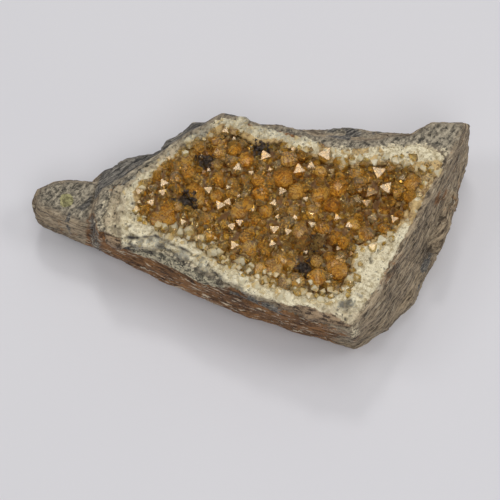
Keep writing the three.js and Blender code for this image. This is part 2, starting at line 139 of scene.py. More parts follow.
class Habit(Enum):
    """How far a crystal's edges and corners are cut back, and how much it grows to make up for that."""

    SHARP = (0.985, 0.93, 1.0)
    STOUT = (0.93, 0.62, 1.15)
    ROUND = (0.885, 0.72, 1.25)

    @property
    def edge(self) -> float:
        """Gives the share left at the edges."""
        return self.value[0]

    @property
    def corner(self) -> float:
        """Gives the share left at the corners."""
        return self.value[1]

    @property
    def growth(self) -> float:
        """Gives how much larger a crystal cut back so far has to be."""
        return self.value[2]


def smooth(value: np.ndarray, low: float, high: float) -> np.ndarray:
    """Rises softly from 0 to 1 as a value goes from low to high.

    Args:
        value: the numbers to weigh.
        low: where the rise starts.
        high: where it ends, which may be below low.

    Returns:
        The weights, from 0 to 1.
    """
    share = np.clip((value - low) / (high - low), 0.0, 1.0)
    return share * share * (3.0 - 2.0 * share)


def chance(index: float, channel: int) -> float:
    """Gives a number from 0 to 1 that looks random, the one that the solids use."""
    wave = math.sin(index * 12.9898 + channel * 78.233) * 43758.5453
    return wave - math.floor(wave)


def chances(indices: np.ndarray, channel: int) -> np.ndarray:
    """Gives such a number for each of many indices."""
    wave = np.sin(indices * 12.9898 + channel * 78.233) * 43758.5453
    return wave - np.floor(wave)


def swell(x: float, y: float, z: float) -> float:
    """Gives the slow unevenness, from -1 to 1, that the solids use."""
    a = math.sin(0.41 * x + 0.23 * y + 1.3 * z)
    b = math.sin(-0.27 * x + 0.52 * y + 0.7 * z + 1.9)
    c = math.sin(0.83 * x - 0.61 * y - 0.4 * z + 4.2)
    return (a + b + c) / 3


@dataclass(frozen=True)
class Packing:
    """Grains that fill space, as they are found at some points, in shares of their size."""

    nearest: np.ndarray  # distance to the grain's middle
    own: np.ndarray  # the grain's own number, from 0 to 1
    lean: np.ndarray  # height of a flat face that leans its own way in each grain


@dataclass(frozen=True)
class Noise:
    """Noise at points in millimetres that is the same on every run."""

    seed: int

    PRIMES = (0x8DA6B343, 0xD8163841, 0xCB1AB31F)
    STIRS = ((15, 0x2C1B3C6D), (12, 0x297A2D39), (15, 0x1B56C4E9))
    SEED_STEP = 2654435769
    CHANNEL_STEP = 2246822507
    WORD = 0xFFFFFFFF

    def cell_chance(self, cells: np.ndarray, channel: int = 0) -> np.ndarray:
        """Gives each cell of space its own number from 0 to 1.

        Args:
            cells: whole numbers, three a row.
            channel: which of a cell's numbers to give.

        Returns:
            One number for each row.
        """
        whole = cells.astype(np.int64).astype(np.uint32)
        key = (self.seed * self.SEED_STEP + channel * self.CHANNEL_STEP) & self.WORD
        mixed = np.full(len(whole), key, np.uint32)
        for axis, prime in enumerate(self.PRIMES):
            mixed ^= whole[:, axis] * np.uint32(prime)
            mixed ^= mixed >> np.uint32(13)
        for shift, factor in self.STIRS:
            mixed ^= mixed >> np.uint32(shift)
            mixed = mixed * np.uint32(factor)
        mixed ^= mixed >> np.uint32(16)
        return mixed.astype(float) / self.WORD

    def lumps(self, points: np.ndarray, size: float, octaves: int = 3) -> np.ndarray:
        """Gives soft noise in octaves, each half the size and height of the one before.

        Args:
            points: places, three numbers a row.
            size: distance between the largest lumps.
            octaves: how many sizes are added up.

        Returns:
            Numbers from -1 to 1, one a point.
        """
        total = np.zeros(len(points))
        height, reach = 1.0, 0.0
        for octave in range(octaves):
            place = points * (2.0 ** octave / size) + 17.3 * octave
            base = np.floor(place)
            blend = place - base
            blend = blend * blend * (3.0 - 2.0 * blend)
            layer = np.zeros(len(points))
            for corner in itertools.product((0, 1), repeat=3):
                weight = np.prod(np.where(corner, blend, 1.0 - blend), axis=1)
                layer += weight * self.cell_chance(base + corner, octave)
            total += height * (2.0 * layer - 1.0)
            reach += height
            height *= 0.5
        return total / reach

    def grains(self, points: np.ndarray, size: float) -> Packing:
        """Packs space with grains about one size across.

        Args:
            points: places, three numbers a row.
            size: distance between the grains.

        Returns:
            The grain at each point.
        """
        place = points / size
        base = np.floor(place)
        nearest = np.full(len(points), np.inf)
        cells = base.copy()
        offset = np.zeros_like(place)
        for corner in itertools.product((-1, 0, 1), repeat=3):
            cell = base + corner
            away = place - cell - np.stack([self.cell_chance(cell, axis) for axis in range(3)], axis=1)
            far = np.linalg.norm(away, axis=1)
            closer = far < nearest
            nearest = np.where(closer, far, nearest)
            cells = np.where(closer[:, None], cell, cells)
            offset = np.where(closer[:, None], away, offset)
        slope = np.stack([self.cell_chance(cells, axis) for axis in (4, 5, 6)], axis=1) - 0.5
        return Packing(nearest, self.cell_chance(cells, 3), (offset * slope).sum(axis=1))


def depth_inside(places: np.ndarray) -> np.ndarray:
    """Measures how far inside the hollow's edge places lie, on the line from the hub.

    Args:
        places: x and y in millimetres, two numbers a row.

    Returns:
        Distances in millimetres, below 0 outside the hollow.
    """
    offset = places - HUB
    away = np.linalg.norm(offset, axis=1)
    way = offset / np.maximum(away, 1e-9)[:, None]
    far = np.zeros(len(places))
    for start, end in zip(HOLLOW, np.roll(HOLLOW, -1, axis=0)):
        side, begin = end - start, start - HUB
        spread = way[:, 0] * side[1] - way[:, 1] * side[0]
        spread = np.where(np.abs(spread) < 1e-12, 1e-12, spread)
        along = (begin[0] * side[1] - begin[1] * side[0]) / spread
        share = (begin[0] * way[:, 1] - begin[1] * way[:, 0]) / spread
        hit = (along > 0) & (share >= 0) & (share <= 1)
        far = np.where(hit, np.maximum(far, along), far)
    return far - away


def below_line(points: np.ndarray, line: tuple[tuple[float, ...], tuple[float, ...]]) -> np.ndarray:
    """Measures how far places lie before and below a line along the front.

    Args:
        points: places in millimetres, three numbers a row.
        line: the line, as x and as y plus the slope times the height.

    Returns:
        Distances in millimetres, below 0 above the line.
    """
    x, y, z = points.T
    return np.interp(x, *line) - (y + FRONT_SLOPE * z)


def growth_height(x: float, y: float, radius: float) -> float:
    """Gives the height of the centre of a crystal.

    Args:
        x: its place across, in millimetres.
        y: its place in depth.
        radius: its size.

    Returns:
        The height in millimetres.
    """
    dips = [math.exp(-((x - dx) ** 2 + (y - dy) ** 2) / size ** 2) for dx, dy, size in DARK_DIPS]
    lift = CRUST_RELIEF * swell(x * 1.1, y * 1.1, 5.0)
    return CRUST_HEIGHT + lift - DIP_DEPTH * max(dips) - SINK * radius


class Wire:
    """A socket of a material, for writing its maths as expressions."""

    def __init__(self, paint: "Paint", socket: bpy.types.NodeSocket) -> None:
        """Wraps one output socket of a paint's tree."""
        self.paint = paint
        self.socket = socket

    def __add__(self, other: "Wire | float") -> "Wire":
        """Adds."""
        return self.paint.maths("ADD", self, other)

    def __radd__(self, other: float) -> "Wire":
        """Adds to a number."""
        return self.paint.maths("ADD", other, self)

    def __sub__(self, other: "Wire | float") -> "Wire":
        """Takes away."""
        return self.paint.maths("SUBTRACT", self, other)

    def __rsub__(self, other: float) -> "Wire":
        """Takes away from a number."""
        return self.paint.maths("SUBTRACT", other, self)

    def __mul__(self, other: "Wire | float") -> "Wire":
        """Multiplies."""
        return self.paint.maths("MULTIPLY", self, other)

    def __rmul__(self, other: float) -> "Wire":
        """Multiplies a number."""
        return self.paint.maths("MULTIPLY", other, self)


class Paint:
    """One material's node tree, written as expressions. Sizes in it are in millimetres."""

    MIX_SOCKETS = (0, 6, 7, 2)  # factor, first colour, second colour, and the output

    def __init__(self, name: str) -> None:
        """Starts a material that has only its output."""
        self.material = bpy.data.materials.new(name)
        self.material.use_nodes = True
        self.tree = self.material.node_tree
        self.tree.nodes.clear()
        self.output = self.tree.nodes.new("ShaderNodeOutputMaterial")

    def node(self, kind: str, settings: Mapping[str, Any] | None = None,
             inputs: Mapping[Any, Any] | None = None, output: str | int = 0) -> Wire:
        """Adds a node, with its settings made before its sockets are fed.

        Args:
            kind: the node's type.
            settings: its own properties, or stops for a ramp's colours.
            inputs: a value or a wire for each socket, by name or place.
            output: the socket to give, by name or place.

        Returns:
            The wire of that output.
        """
        node = self.tree.nodes.new(kind)
        for key, value in (settings or {}).items():
            if key == "stops":
                self.set_stops(node.color_ramp, value)
            else:
                setattr(node, key, value)
        for key, value in (inputs or {}).items():
            socket = node.inputs[key]
            if isinstance(value, Wire):
                self.tree.links.new(value.socket, socket)
            else:
                socket.default_value = value
        return Wire(self, node.outputs[output])

    @staticmethod
    def set_stops(ramp: bpy.types.ColorRamp, stops: Sequence[tuple[float, Colour]]) -> None:
        """Sets a ramp's colours.

        Args:
            ramp: the ramp to set.
            stops: the place and colour of each stop, from the lowest.
        """
        while len(ramp.elements) < len(stops):
            ramp.elements.new(1.0)
        for element, (place, colour) in zip(ramp.elements, stops):
            element.position = place
            element.color = (*colour, 1.0)

    def maths(self, operation: str, first: Wire | float, second: Wire | float) -> Wire:
        """Adds a Math node for two values."""
        return self.node("ShaderNodeMath", {"operation": operation}, {0: first, 1: second})

    def place(self) -> Wire:
        """Gives the place on the piece, in millimetres."""
        spot = self.node("ShaderNodeTexCoord", output="Object")
        return self.node("ShaderNodeVectorMath", {"operation": "SCALE"}, {0: spot, "Scale": MM})

    def stretch(self, place: Wire, sizes: Colour) -> Wire:
        """Divides a place by sizes along X, Y and Z, so that noise on it is drawn out."""
        factors = tuple(1.0 / size for size in sizes)
        return self.node("ShaderNodeVectorMath", {"operation": "MULTIPLY"}, {0: place, 1: factors})

    def turned(self, place: Wire, degrees: float) -> Wire:
        """Turns a place about Z, so that what is drawn out along X runs another way."""
        inputs = {"Vector": place, "Angle": -math.radians(degrees)}
        return self.node("ShaderNodeVectorRotate", {"rotation_type": "Z_AXIS"}, inputs)

    def noise(self, place: Wire, size: float, detail: float = 4.0, rough: float = 0.55) -> Wire:
        """Adds soft noise.

        Args:
            place: where it is read.
            size: distance between its lumps.
            detail: how many finer sizes are added.
            rough: how strong those are.

        Returns:
            A value about 0.5, mostly from 0.3 to 0.7.
        """
        inputs = {"Vector": place, "Scale": 1.0 / size, "Detail": detail, "Roughness": rough}
        return self.node("ShaderNodeTexNoise", None, inputs)

    def grains(self, place: Wire, size: float, feature: str = "F1", output: str = "Distance") -> Wire:
        """Adds packed grains.

        Args:
            place: where they are read.
            size: distance between the grains.
            feature: what is measured, such as F1 or DISTANCE_TO_EDGE.
            output: Distance, or Color for the grain's own colour.

        Returns:
            The wire of that output.
        """
        inputs = {"Vector": place, "Scale": 1.0 / size}
        return self.node("ShaderNodeTexVoronoi", {"feature": feature}, inputs, output)

    def own(self, place: Wire, size: float) -> Wire:
        """Gives each packed grain its own number from 0 to 1."""
        return self.node("ShaderNodeSeparateColor", None, {0: self.grains(place, size, output="Color")})

    def facets(self, place: Wire, size: float) -> Wire:
        """Gives each packed grain a flat face that leans its own way.

        Args:
            place: where they are read.
            size: distance between the grains.

        Returns:
            The face's height at the place, about 0, in the place's own unit.
        """
        middle = self.grains(place, size, output="Position")
        offset = self.node("ShaderNodeVectorMath", {"operation": "SUBTRACT"}, {0: place, 1: middle})
        colour = self.grains(place, size, output="Color")
        slope = self.node("ShaderNodeVectorMath", {"operation": "SUBTRACT"}, {0: colour, 1: (0.5, 0.5, 0.5)})
        return self.node("ShaderNodeVectorMath", {"operation": "DOT_PRODUCT"}, {0: offset, 1: slope}, "Value")

    def warp(self, place: Wire, size: float, reach: float) -> Wire:
        """Sways a place, so that grains read there have ragged outlines.

        Args:
            place: the place to sway.
            size: distance between the sways.
            reach: how far they go.

        Returns:
            The swayed place.
        """
        inputs = {"Vector": place, "Scale": 1.0 / size, "Detail": 3.0}
        sway = self.node("ShaderNodeTexNoise", None, inputs, "Color")
        return self.node("ShaderNodeVectorMath", {"operation": "MULTIPLY_ADD"},
                         {0: sway, 1: (4 * reach,) * 3, 2: place})

    def ragged(self, zone: Zone, broken: Wire) -> Wire:
        """Reads a mask and breaks its edge up by a value about 0."""
        return self.rise(self.zone(zone) + broken, 0.35, 0.65)

    def rise(self, value: Wire, low: float, high: float, top: float = 1.0) -> Wire:
        """Rises softly from 0 to top as a value goes from low to high."""
        inputs = {"Value": value, "From Min": low, "From Max": high, "To Min": 0.0, "To Max": top}
        return self.node("ShaderNodeMapRange", {"interpolation_type": "SMOOTHSTEP"}, inputs)

    def zone(self, zone: Zone) -> Wire:
        """Reads one of the mesh's masks."""
        return self.node("ShaderNodeAttribute", {"attribute_name": zone.value}, output="Fac")

    def mix(self, share: Wire | float, first: Wire | Colour, second: Wire | Colour,
            blend: str = "MIX") -> Wire:
        """Mixes two colours.

        Args:
            share: how much of the second.
            first: the colour at share 0.
            second: the colour at share 1.
            blend: how they are mixed, such as MIX or MULTIPLY.

        Returns:
            The mixed colour.
        """
        factor, a, b, out = self.MIX_SOCKETS
        first, second = ((*c, 1.0) if isinstance(c, tuple) else c for c in (first, second))
        settings = {"data_type": "RGBA", "blend_type": blend}
        return self.node("ShaderNodeMix", settings, {factor: share, a: first, b: second}, out)

    def bump(self, height: Wire, distance: float, strength: float = 1.0) -> Wire:
        """Turns a height into a surface direction.

        Args:
            height: the height, from 0 to 1.
            distance: how high 1 stands, in millimetres.
            strength: how much of it shows.

        Returns:
            The wire for a shader's Normal.
        """
        inputs = {"Height": height, "Distance": distance / MM, "Strength": strength}
        return self.node("ShaderNodeBump", None, inputs)

    def finish(self, surface: Wire, volume: Wire | None = None) -> bpy.types.Material:
        """Joins the shaders to the material's output.

        Args:
            surface: the surface's shader.
            volume: the inside's shader, if it has one.

        Returns:
            The finished material.
        """
        self.tree.links.new(surface.socket, self.output.inputs["Surface"])
        if volume is not None:
            self.tree.links.new(volume.socket, self.output.inputs["Volume"])
        return self.material


@dataclass(frozen=True)
class RockFinish:
    """Foliated rock: streaks along its beds, rusty and slaty zones, pale flecks, specks of mica, and painted
    shade in its recesses and along a cleft under the vein.
    """

    brown_dark: Colour = (0.062, 0.043, 0.027)
    brown: Colour = (0.60, 0.465, 0.305)
    grey_dark: Colour = (0.052, 0.046, 0.035)
    grey: Colour = (0.59, 0.51, 0.375)
    rust_dark: Colour = (0.048, 0.021, 0.009)
    rust: Colour = (0.44, 0.215, 0.08)
    slate: Colour = (0.042, 0.039, 0.036)
    slate_pale: Colour = (0.38, 0.345, 0.29)
    fleck: Colour = (0.88, 0.77, 0.57)
    black: Colour = (0.022, 0.02, 0.018)
    granular: Colour = (0.80, 0.71, 0.49)
    granular_dark: Colour = (0.09, 0.080, 0.056)
    pale: Colour = (0.90, 0.78, 0.54)
    pale_dark: Colour = (0.26, 0.21, 0.13)
    olive: Colour = (0.46, 0.42, 0.20)
    olive_dark: Colour = (0.20, 0.18, 0.08)
    # painted shade: the colour of the rock's recesses and of a cleft under the vein
    crevice: Colour = (0.028, 0.023, 0.018)
    bed_size: Colour = (3.6, 3.6, 0.45)
    thin_bed_size: Colour = (1.6, 1.6, 0.16)
    fleck_size: Colour = (1.9, 1.9, 0.36)
    patch_size: float = 5.0
    chip_size: Colour = (2.2, 2.2, 0.34)
    ledge_bed_size: Colour = (3.0, 0.30, 0.30)
    ledge_turn: float = 32.6  # the way that the ledge's plates run, in degrees
    flat_bed_size: Colour = (2.6, 0.5, 0.5)
    flat_turn: float = 48.0  # and the streaks on flat stretches
    dip_way: Colour = (0.872, -0.490, 0.0)  # the way that the beds dip beyond the right crest
    dip_start: float = 22.1
    dip: float = -0.6
    grit_size: float = 0.3

    def material(self) -> bpy.types.Material:
        """Makes the finish."""
        paint = Paint("foliated_rock")
        place = self.dipped(paint, paint.place())
        swayed = paint.warp(place, 0.6, 0.10)
        bed = paint.noise(paint.stretch(place, self.bed_size), 1.0, 5.0, 0.6)
        thin = paint.noise(paint.stretch(place, self.thin_bed_size), 1.0, 4.0, 0.65)
        plates = paint.stretch(paint.turned(place, self.ledge_turn), self.ledge_bed_size)
        plates = paint.noise(plates, 1.0, 4.0, 0.6)
        speck = paint.noise(place, 0.8, 6.0, 0.72)
        grit = paint.own(swayed, self.grit_size)
        broken = (grit - 0.5) * 0.22 + (speck - 0.5) * 0.6
        flat = paint.zone(Zone.FLAT)
        patch = paint.noise(place, self.patch_size, 2.0)
        layers = bed * 0.5 + thin * 0.5 + (speck - 0.5) * 0.35
        layers = paint.rise(layers + (patch - 0.5) * 0.2, 0.37, 0.63)
        streaks = paint.stretch(paint.turned(swayed, self.flat_turn), self.flat_bed_size)
        streaks = paint.noise(streaks, 1.0, 4.0, 0.65)
        specks = paint.rise(speck * 0.5 + grit * 0.12 + streaks * 0.55, 0.45, 0.75)
        tone = layers * (1 - flat) + specks * flat
        colour = paint.mix(flat, paint.mix(tone, self.brown_dark, self.brown),
                           paint.mix(tone, self.grey_dark, self.grey))
        rust = paint.mix(tone, self.rust_dark, self.rust)
        colour = paint.mix(paint.ragged(Zone.RUST, broken), colour, rust)
        slate = paint.rise(plates * 0.6 + thin * 0.3 + speck * 0.1 + broken * 0.15, 0.42, 0.62)
        slate = paint.mix(slate, self.slate, self.slate_pale)
        colour = paint.mix(paint.ragged(Zone.SLATE, broken), colour, slate)
        salt = paint.rise(grit * 0.45 + speck * 0.9, 0.48, 0.82)
        granular = paint.mix(salt, self.granular_dark, self.granular)
        colour = paint.mix(paint.ragged(Zone.GRANULAR, broken), colour, granular)
        pale = paint.mix(salt, self.pale_dark, self.pale)
        colour = paint.mix(paint.ragged(Zone.PALE, broken * 1.6) * 0.9, colour, pale)
        flecks = paint.noise(paint.stretch(swayed, self.fleck_size), 1.0, 3.0, 0.6)
        flecks = paint.rise(flecks, 0.58, 0.63) * (0.35 + paint.zone(Zone.RUST) * 0.5)
        flecks = flecks * (1 - flat * 0.8) * (1 - paint.zone(Zone.SLATE) * 0.7)
        colour = paint.mix(flecks, colour, self.fleck)
        pepper = paint.rise(paint.own(swayed, 0.42) + (speck - 0.5) * 1.2, 0.95, 1.02) * (0.25 + flat * 0.2)
        colour = paint.mix(pepper, colour, self.black)
        olive = paint.mix(salt, self.olive_dark, self.olive)
        colour = paint.mix(paint.ragged(Zone.OLIVE, broken), colour, olive)
        # painted shade in the recesses and along the cleft under the vein
        colour = paint.mix(paint.zone(Zone.CREVICE) * 0.85, colour, self.crevice)
        mica = paint.rise(paint.grains(place, 0.45), 0.3, 0.1)
        rough = 0.84 - mica * (0.25 + paint.zone(Zone.SLATE) * 0.25)
        chips = paint.facets(paint.stretch(swayed, self.chip_size), 1.0)
        fine = paint.noise(place, 0.3, 5.0, 0.72)
        height = chips * 0.22 + fine * 0.2 + thin * 0.35 + plates * paint.zone(Zone.SLATE) * 0.4
        height = height + paint.facets(swayed, 0.4) * 0.15 + streaks * flat * 0.35
        shader = paint.node("ShaderNodeBsdfPrincipled", None, {
            "Base Color": colour, "Roughness": rough, "IOR": 1.5,
            "Normal": paint.bump(height, 1.0, 0.85),
        })
        return paint.finish(shader)

    def dipped(self, paint: Paint, place: Wire) -> Wire:
        """Raises places beyond the right crest, so that the beds read there dip.

        Args:
            paint: the material's paint.
            place: the place on the piece.

        Returns:
            The raised place.
        """
        across = paint.node("ShaderNodeVectorMath", {"operation": "DOT_PRODUCT"},
                            {0: place, 1: self.dip_way}, "Value")
        rise = paint.maths("MAXIMUM", across - self.dip_start, 0.0) * self.dip
        shift = paint.node("ShaderNodeCombineXYZ", None, {"Z": rise})
        return paint.node("ShaderNodeVectorMath", {"operation": "ADD"}, {0: place, 1: shift})


@dataclass(frozen=True)
class VeinFinish:
    """Sugary vein: cream crumbs, whiter ones, grey and tan patches, amber stains at the crystals, painted
    light under them and painted shade with dirt between them.
    """

    cream: Colour = (0.46, 0.36, 0.19)
    white: Colour = (1.0, 0.90, 0.64)
    gap: Colour = (0.075, 0.062, 0.042)
    ash: Colour = (0.40, 0.38, 0.30)
    tan: Colour = (0.56, 0.44, 0.28)
    stain: Colour = (0.66, 0.43, 0.14)
    # dark brown: the dark end of the stains, and painted shade with dirt on the floor between the crystals
    root: Colour = (0.22, 0.105, 0.03)
    # painted light: the floor under the crystals, lit through them
    glow: Colour = (1.0, 0.84, 0.42)
    # the darker mottle of that painted light
    shade: Colour = (0.44, 0.22, 0.07)
    rust_dark: Colour = (0.055, 0.03, 0.014)
    rust: Colour = (0.42, 0.29, 0.17)
    # the dark floor of the dips, and painted shade between the sugary grains and along a cleft
    deep: Colour = (0.035, 0.028, 0.025)
    bed_size: Colour = (2.4, 0.4, 0.4)
    bed_turn: float = -14.0  # the way that the brown streaks run at the front
    crumb_size: float = 0.6
    grit_size: float = 0.22

    def material(self) -> bpy.types.Material:
        """Makes the finish."""
        paint = Paint("sugary_vein")
        place = paint.place()
        swayed = paint.warp(place, 0.4, 0.1)
        wander = paint.noise(place, 2.0, 4.0, 0.6)
        speck = paint.noise(place, 0.5, 6.0, 0.75)
        crumb = paint.own(swayed, self.crumb_size)
        grit = paint.own(swayed, self.grit_size)
        broken = (grit - 0.5) * 0.25 + (speck - 0.5) * 0.6
        tone = paint.rise(crumb * 0.16 + grit * 0.22 + wander * 0.7 + speck * 0.6, 0.56, 0.98)
        colour = paint.mix(tone, self.cream, self.white)
        tan = paint.mix(tone, self.gap, self.tan)
        colour = paint.mix(paint.ragged(Zone.TAN, broken * 1.3) * 0.85, colour, tan)
        ash = paint.mix(tone, self.gap, self.ash)
        colour = paint.mix(paint.ragged(Zone.ASH, broken * 1.3) * 0.8, colour, ash)
        stain = paint.ragged(Zone.STAIN, broken * 1.3) * 0.85
        colour = paint.mix(stain, colour, paint.mix(tone, self.root, self.stain))
        beds = paint.noise(paint.stretch(paint.turned(swayed, self.bed_turn), self.bed_size), 1.0, 4.0, 0.6)
        beds = paint.rise(beds + (speck - 0.5) * 0.4, 0.38, 0.60)
        rust = paint.mix(beds, self.rust_dark, self.rust)
        colour = paint.mix(paint.ragged(Zone.RUST, broken), colour, rust)
        pepper = paint.rise(paint.own(swayed, 0.29) + (wander - 0.5) * 1.1, 0.97, 1.03)
        colour = paint.mix(pepper * 0.7, colour, self.gap)
        mottle = paint.rise(paint.own(swayed, 0.34) * 0.5 + speck, 0.60, 0.90)
        # painted light on the hollow's floor: bright under the crystals, and shade with dirt between them
        bed = paint.mix(paint.zone(Zone.GLOW), self.root, paint.mix(mottle, self.shade, self.glow))
        colour = paint.mix(paint.zone(Zone.BED), colour, bed)
        # the dark floor of the dips, and painted shade between the grains and along a cleft
        colour = paint.mix(paint.zone(Zone.CREVICE), colour, self.deep)
        height = (paint.facets(swayed, self.crumb_size) * 0.45 + paint.facets(swayed, self.grit_size) * 0.5
                  + crumb * 0.03 + paint.noise(place, 0.25, 5.0, 0.7) * 0.10)
        shader = paint.node("ShaderNodeBsdfPrincipled", None, {
            "Base Color": colour, "Roughness": 0.70 - grit * 0.4, "IOR": 1.5,
            "Normal": paint.bump(height, 1.0, 0.8),
        })
        return paint.finish(shader)


@dataclass(frozen=True)
class AmberFinish:
    """Clear honey-brown fluorite. It takes its colour from the depth of crystal that the light crosses, and
    its base colour carries painted shade low on the crystals and painted reflections that differ from face to
    face.
    """

    warm: tuple[Colour, ...] = (
        (1.0, 0.89, 0.57), (1.0, 0.77, 0.29), (1.0, 0.65, 0.14), (0.97, 0.52, 0.09), (0.66, 0.32, 0.07),
        (0.22, 0.115, 0.05),
    )
    golden: tuple[Colour, ...] = (
        (1.0, 0.91, 0.60), (1.0, 0.82, 0.36), (1.0, 0.71, 0.18), (0.95, 0.60, 0.12), (0.60, 0.36, 0.10),
        (0.20, 0.12, 0.055),
    )
    stops: tuple[float, ...] = (0.0, 0.12, 0.32, 0.58, 0.82, 1.0)
    # painted shade low on the crystals and between them
    root: Colour = (0.17, 0.085, 0.03)
    smoke: Colour = (0.38, 0.29, 0.15)
    absorbed: Colour = (0.92, 0.60, 0.05)
    density: float = 250.0
    ior: float = 1.434
    clearness: float = 0.88
    gleam: Colour = (1.0, 0.78, 0.55)

    def material(self) -> bpy.types.Material:
        """Makes the finish."""
        paint = Paint("amber_fluorite")
        place = paint.place()
        growth = paint.node("ShaderNodeAttribute", {"attribute_name": Zone.GROWTH.value}, output="Color")
        split = paint.node("ShaderNodeSeparateColor", None, {0: growth})
        tint, rough, hue = (Wire(paint, socket) for socket in split.socket.node.outputs)
        cloud = paint.noise(place, 0.8, 2.0, 0.5)
        shade = tint + (cloud - 0.5) * 0.85 + (paint.noise(place, 0.3, 2.0, 0.6) - 0.5) * 0.35
        warm, golden = (paint.node("ShaderNodeValToRGB", {"stops": list(zip(self.stops, ramp))}, {0: shade})
                        for ramp in (self.warm, self.golden))
        colour = paint.mix(hue * 0.75, warm, golden)
        murk = paint.node("ShaderNodeAttribute", {"attribute_name": Zone.GROWTH.value}, output="Alpha")
        colour = paint.mix(murk, colour, self.smoke)
        # painted shade: darker towards each crystal's base
        low = paint.rise(paint.zone(Zone.DEPTH) + (cloud - 0.5) * 0.3, 0.58, 0.90)
        colour = paint.mix(low * 0.9, colour, self.root)
        ripple = paint.noise(place, 0.9, 0.0)
        shader = paint.node("ShaderNodeBsdfPrincipled", None, {
            "Base Color": colour, "Roughness": rough + (cloud - 0.5) * 0.04, "IOR": self.ior,
            "Transmission Weight": self.clearness, "Specular Tint": (*self.gleam, 1.0),
            "Normal": paint.bump(ripple, 0.006, 0.3),
        })
        volume = paint.node("ShaderNodeVolumeAbsorption", None,
                            {"Color": (*self.absorbed, 1.0), "Density": self.density})
        return paint.finish(shader, volume)


@dataclass(frozen=True)
class RimGrainFinish:
    """Pale crystals, half clear, cream to honey."""

    pale: Colour = (1.0, 0.91, 0.64)
    honey: Colour = (0.95, 0.72, 0.34)
    dull: Colour = (0.62, 0.49, 0.29)

    def material(self) -> bpy.types.Material:
        """Makes the finish."""
        paint = Paint("pale_grains")
        place = paint.place()
        tone = paint.rise(paint.noise(place, 1.4, 3.0), 0.40, 0.66)
        colour = paint.mix(tone, self.pale, self.honey)
        dull = paint.rise(paint.noise(place, 0.45, 4.0, 0.7), 0.50, 0.66)
        colour = paint.mix(dull * 0.6, colour, self.dull)
        ripple = paint.noise(place, 0.3, 3.0, 0.6)
        shader = paint.node("ShaderNodeBsdfPrincipled", None, {
            "Base Color": colour, "Roughness": 0.06 + dull * 0.25, "IOR": 1.45,
            "Transmission Weight": 0.35, "Normal": paint.bump(ripple, 0.012, 0.5),
        })
        return paint.finish(shader)


@dataclass(frozen=True)
class DarkGrainFinish:
    """Blue-black to brown grains with a dull shine."""

    black: Colour = (0.028, 0.019, 0.013)
    brown: Colour = (0.13, 0.078, 0.042)

    def material(self) -> bpy.types.Material:
        """Makes the finish."""
        paint = Paint("dark_grains")
        place = paint.place()
        tone = paint.rise(paint.noise(place, 0.5, 3.0), 0.45, 0.68)
        colour = paint.mix(tone, self.black, self.brown)
        shader = paint.node("ShaderNodeBsdfPrincipled", None, {
            "Base Color": colour, "Roughness": 0.35 + tone * 0.4, "IOR": 1.5,
            "Normal": paint.bump(paint.noise(place, 0.2, 3.0), 0.05),
        })
        return paint.finish(shader)


@dataclass(frozen=True)
class FloorFinish:
    """Plain pale board."""

    pale: Colour = (0.80, 0.79, 0.81)
    shade: Colour = (0.765, 0.755, 0.785)

    def material(self) -> bpy.types.Material:
        """Makes the finish."""
        paint = Paint("pale_board")
        place = paint.place()
        colour = paint.mix(paint.noise(place, 60.0, 2.0), self.pale, self.shade)
        shader = paint.node("ShaderNodeBsdfPrincipled", None, {
            "Base Color": colour, "Roughness": 0.7, "Specular IOR Level": 0.2,
            "Normal": paint.bump(paint.noise(place, 0.4, 2.0), 0.02, 0.3),
        })
        return paint.finish(shader)


def new_piece(name: str, mesh: bpy.types.Mesh) -> bpy.types.Object:
    """Puts a mesh in the scene as an object of that name."""
    mesh.name = name
    piece = bpy.data.objects.new(name, mesh)
    bpy.context.scene.collection.objects.link(piece)
    return piece


def apply_modifiers(piece: bpy.types.Object) -> None:
    """Gives a piece the mesh that its modifiers make, and takes them off."""
    bpy.context.view_layer.update()
    graph = bpy.context.evaluated_depsgraph_get()
    made = bpy.data.meshes.new_from_object(piece.evaluated_get(graph))
    piece.modifiers.clear()
    old, piece.data = piece.data, made
    bpy.data.meshes.remove(old)


def dress(piece: bpy.types.Object, material: bpy.types.Material, slot: str, *nodes: str) -> None:
    """Finishes a piece: back to metres, its material, and its place in the object.

    Args:
        piece: the piece, still in millimetres.
        material: what it is made of.
        slot: the record's material slot that it stands for; not used.
        nodes: the solids that it replaces.
    """
    piece.data.transform(Matrix.Scale(1.0 / MM, 4))
    piece.data.materials.clear()
    piece.data.materials.append(material)
    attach(piece, BODY)
    if nodes:
        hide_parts(*nodes)
    log.info("%s: %d faces", piece.name, len(piece.data.polygons))


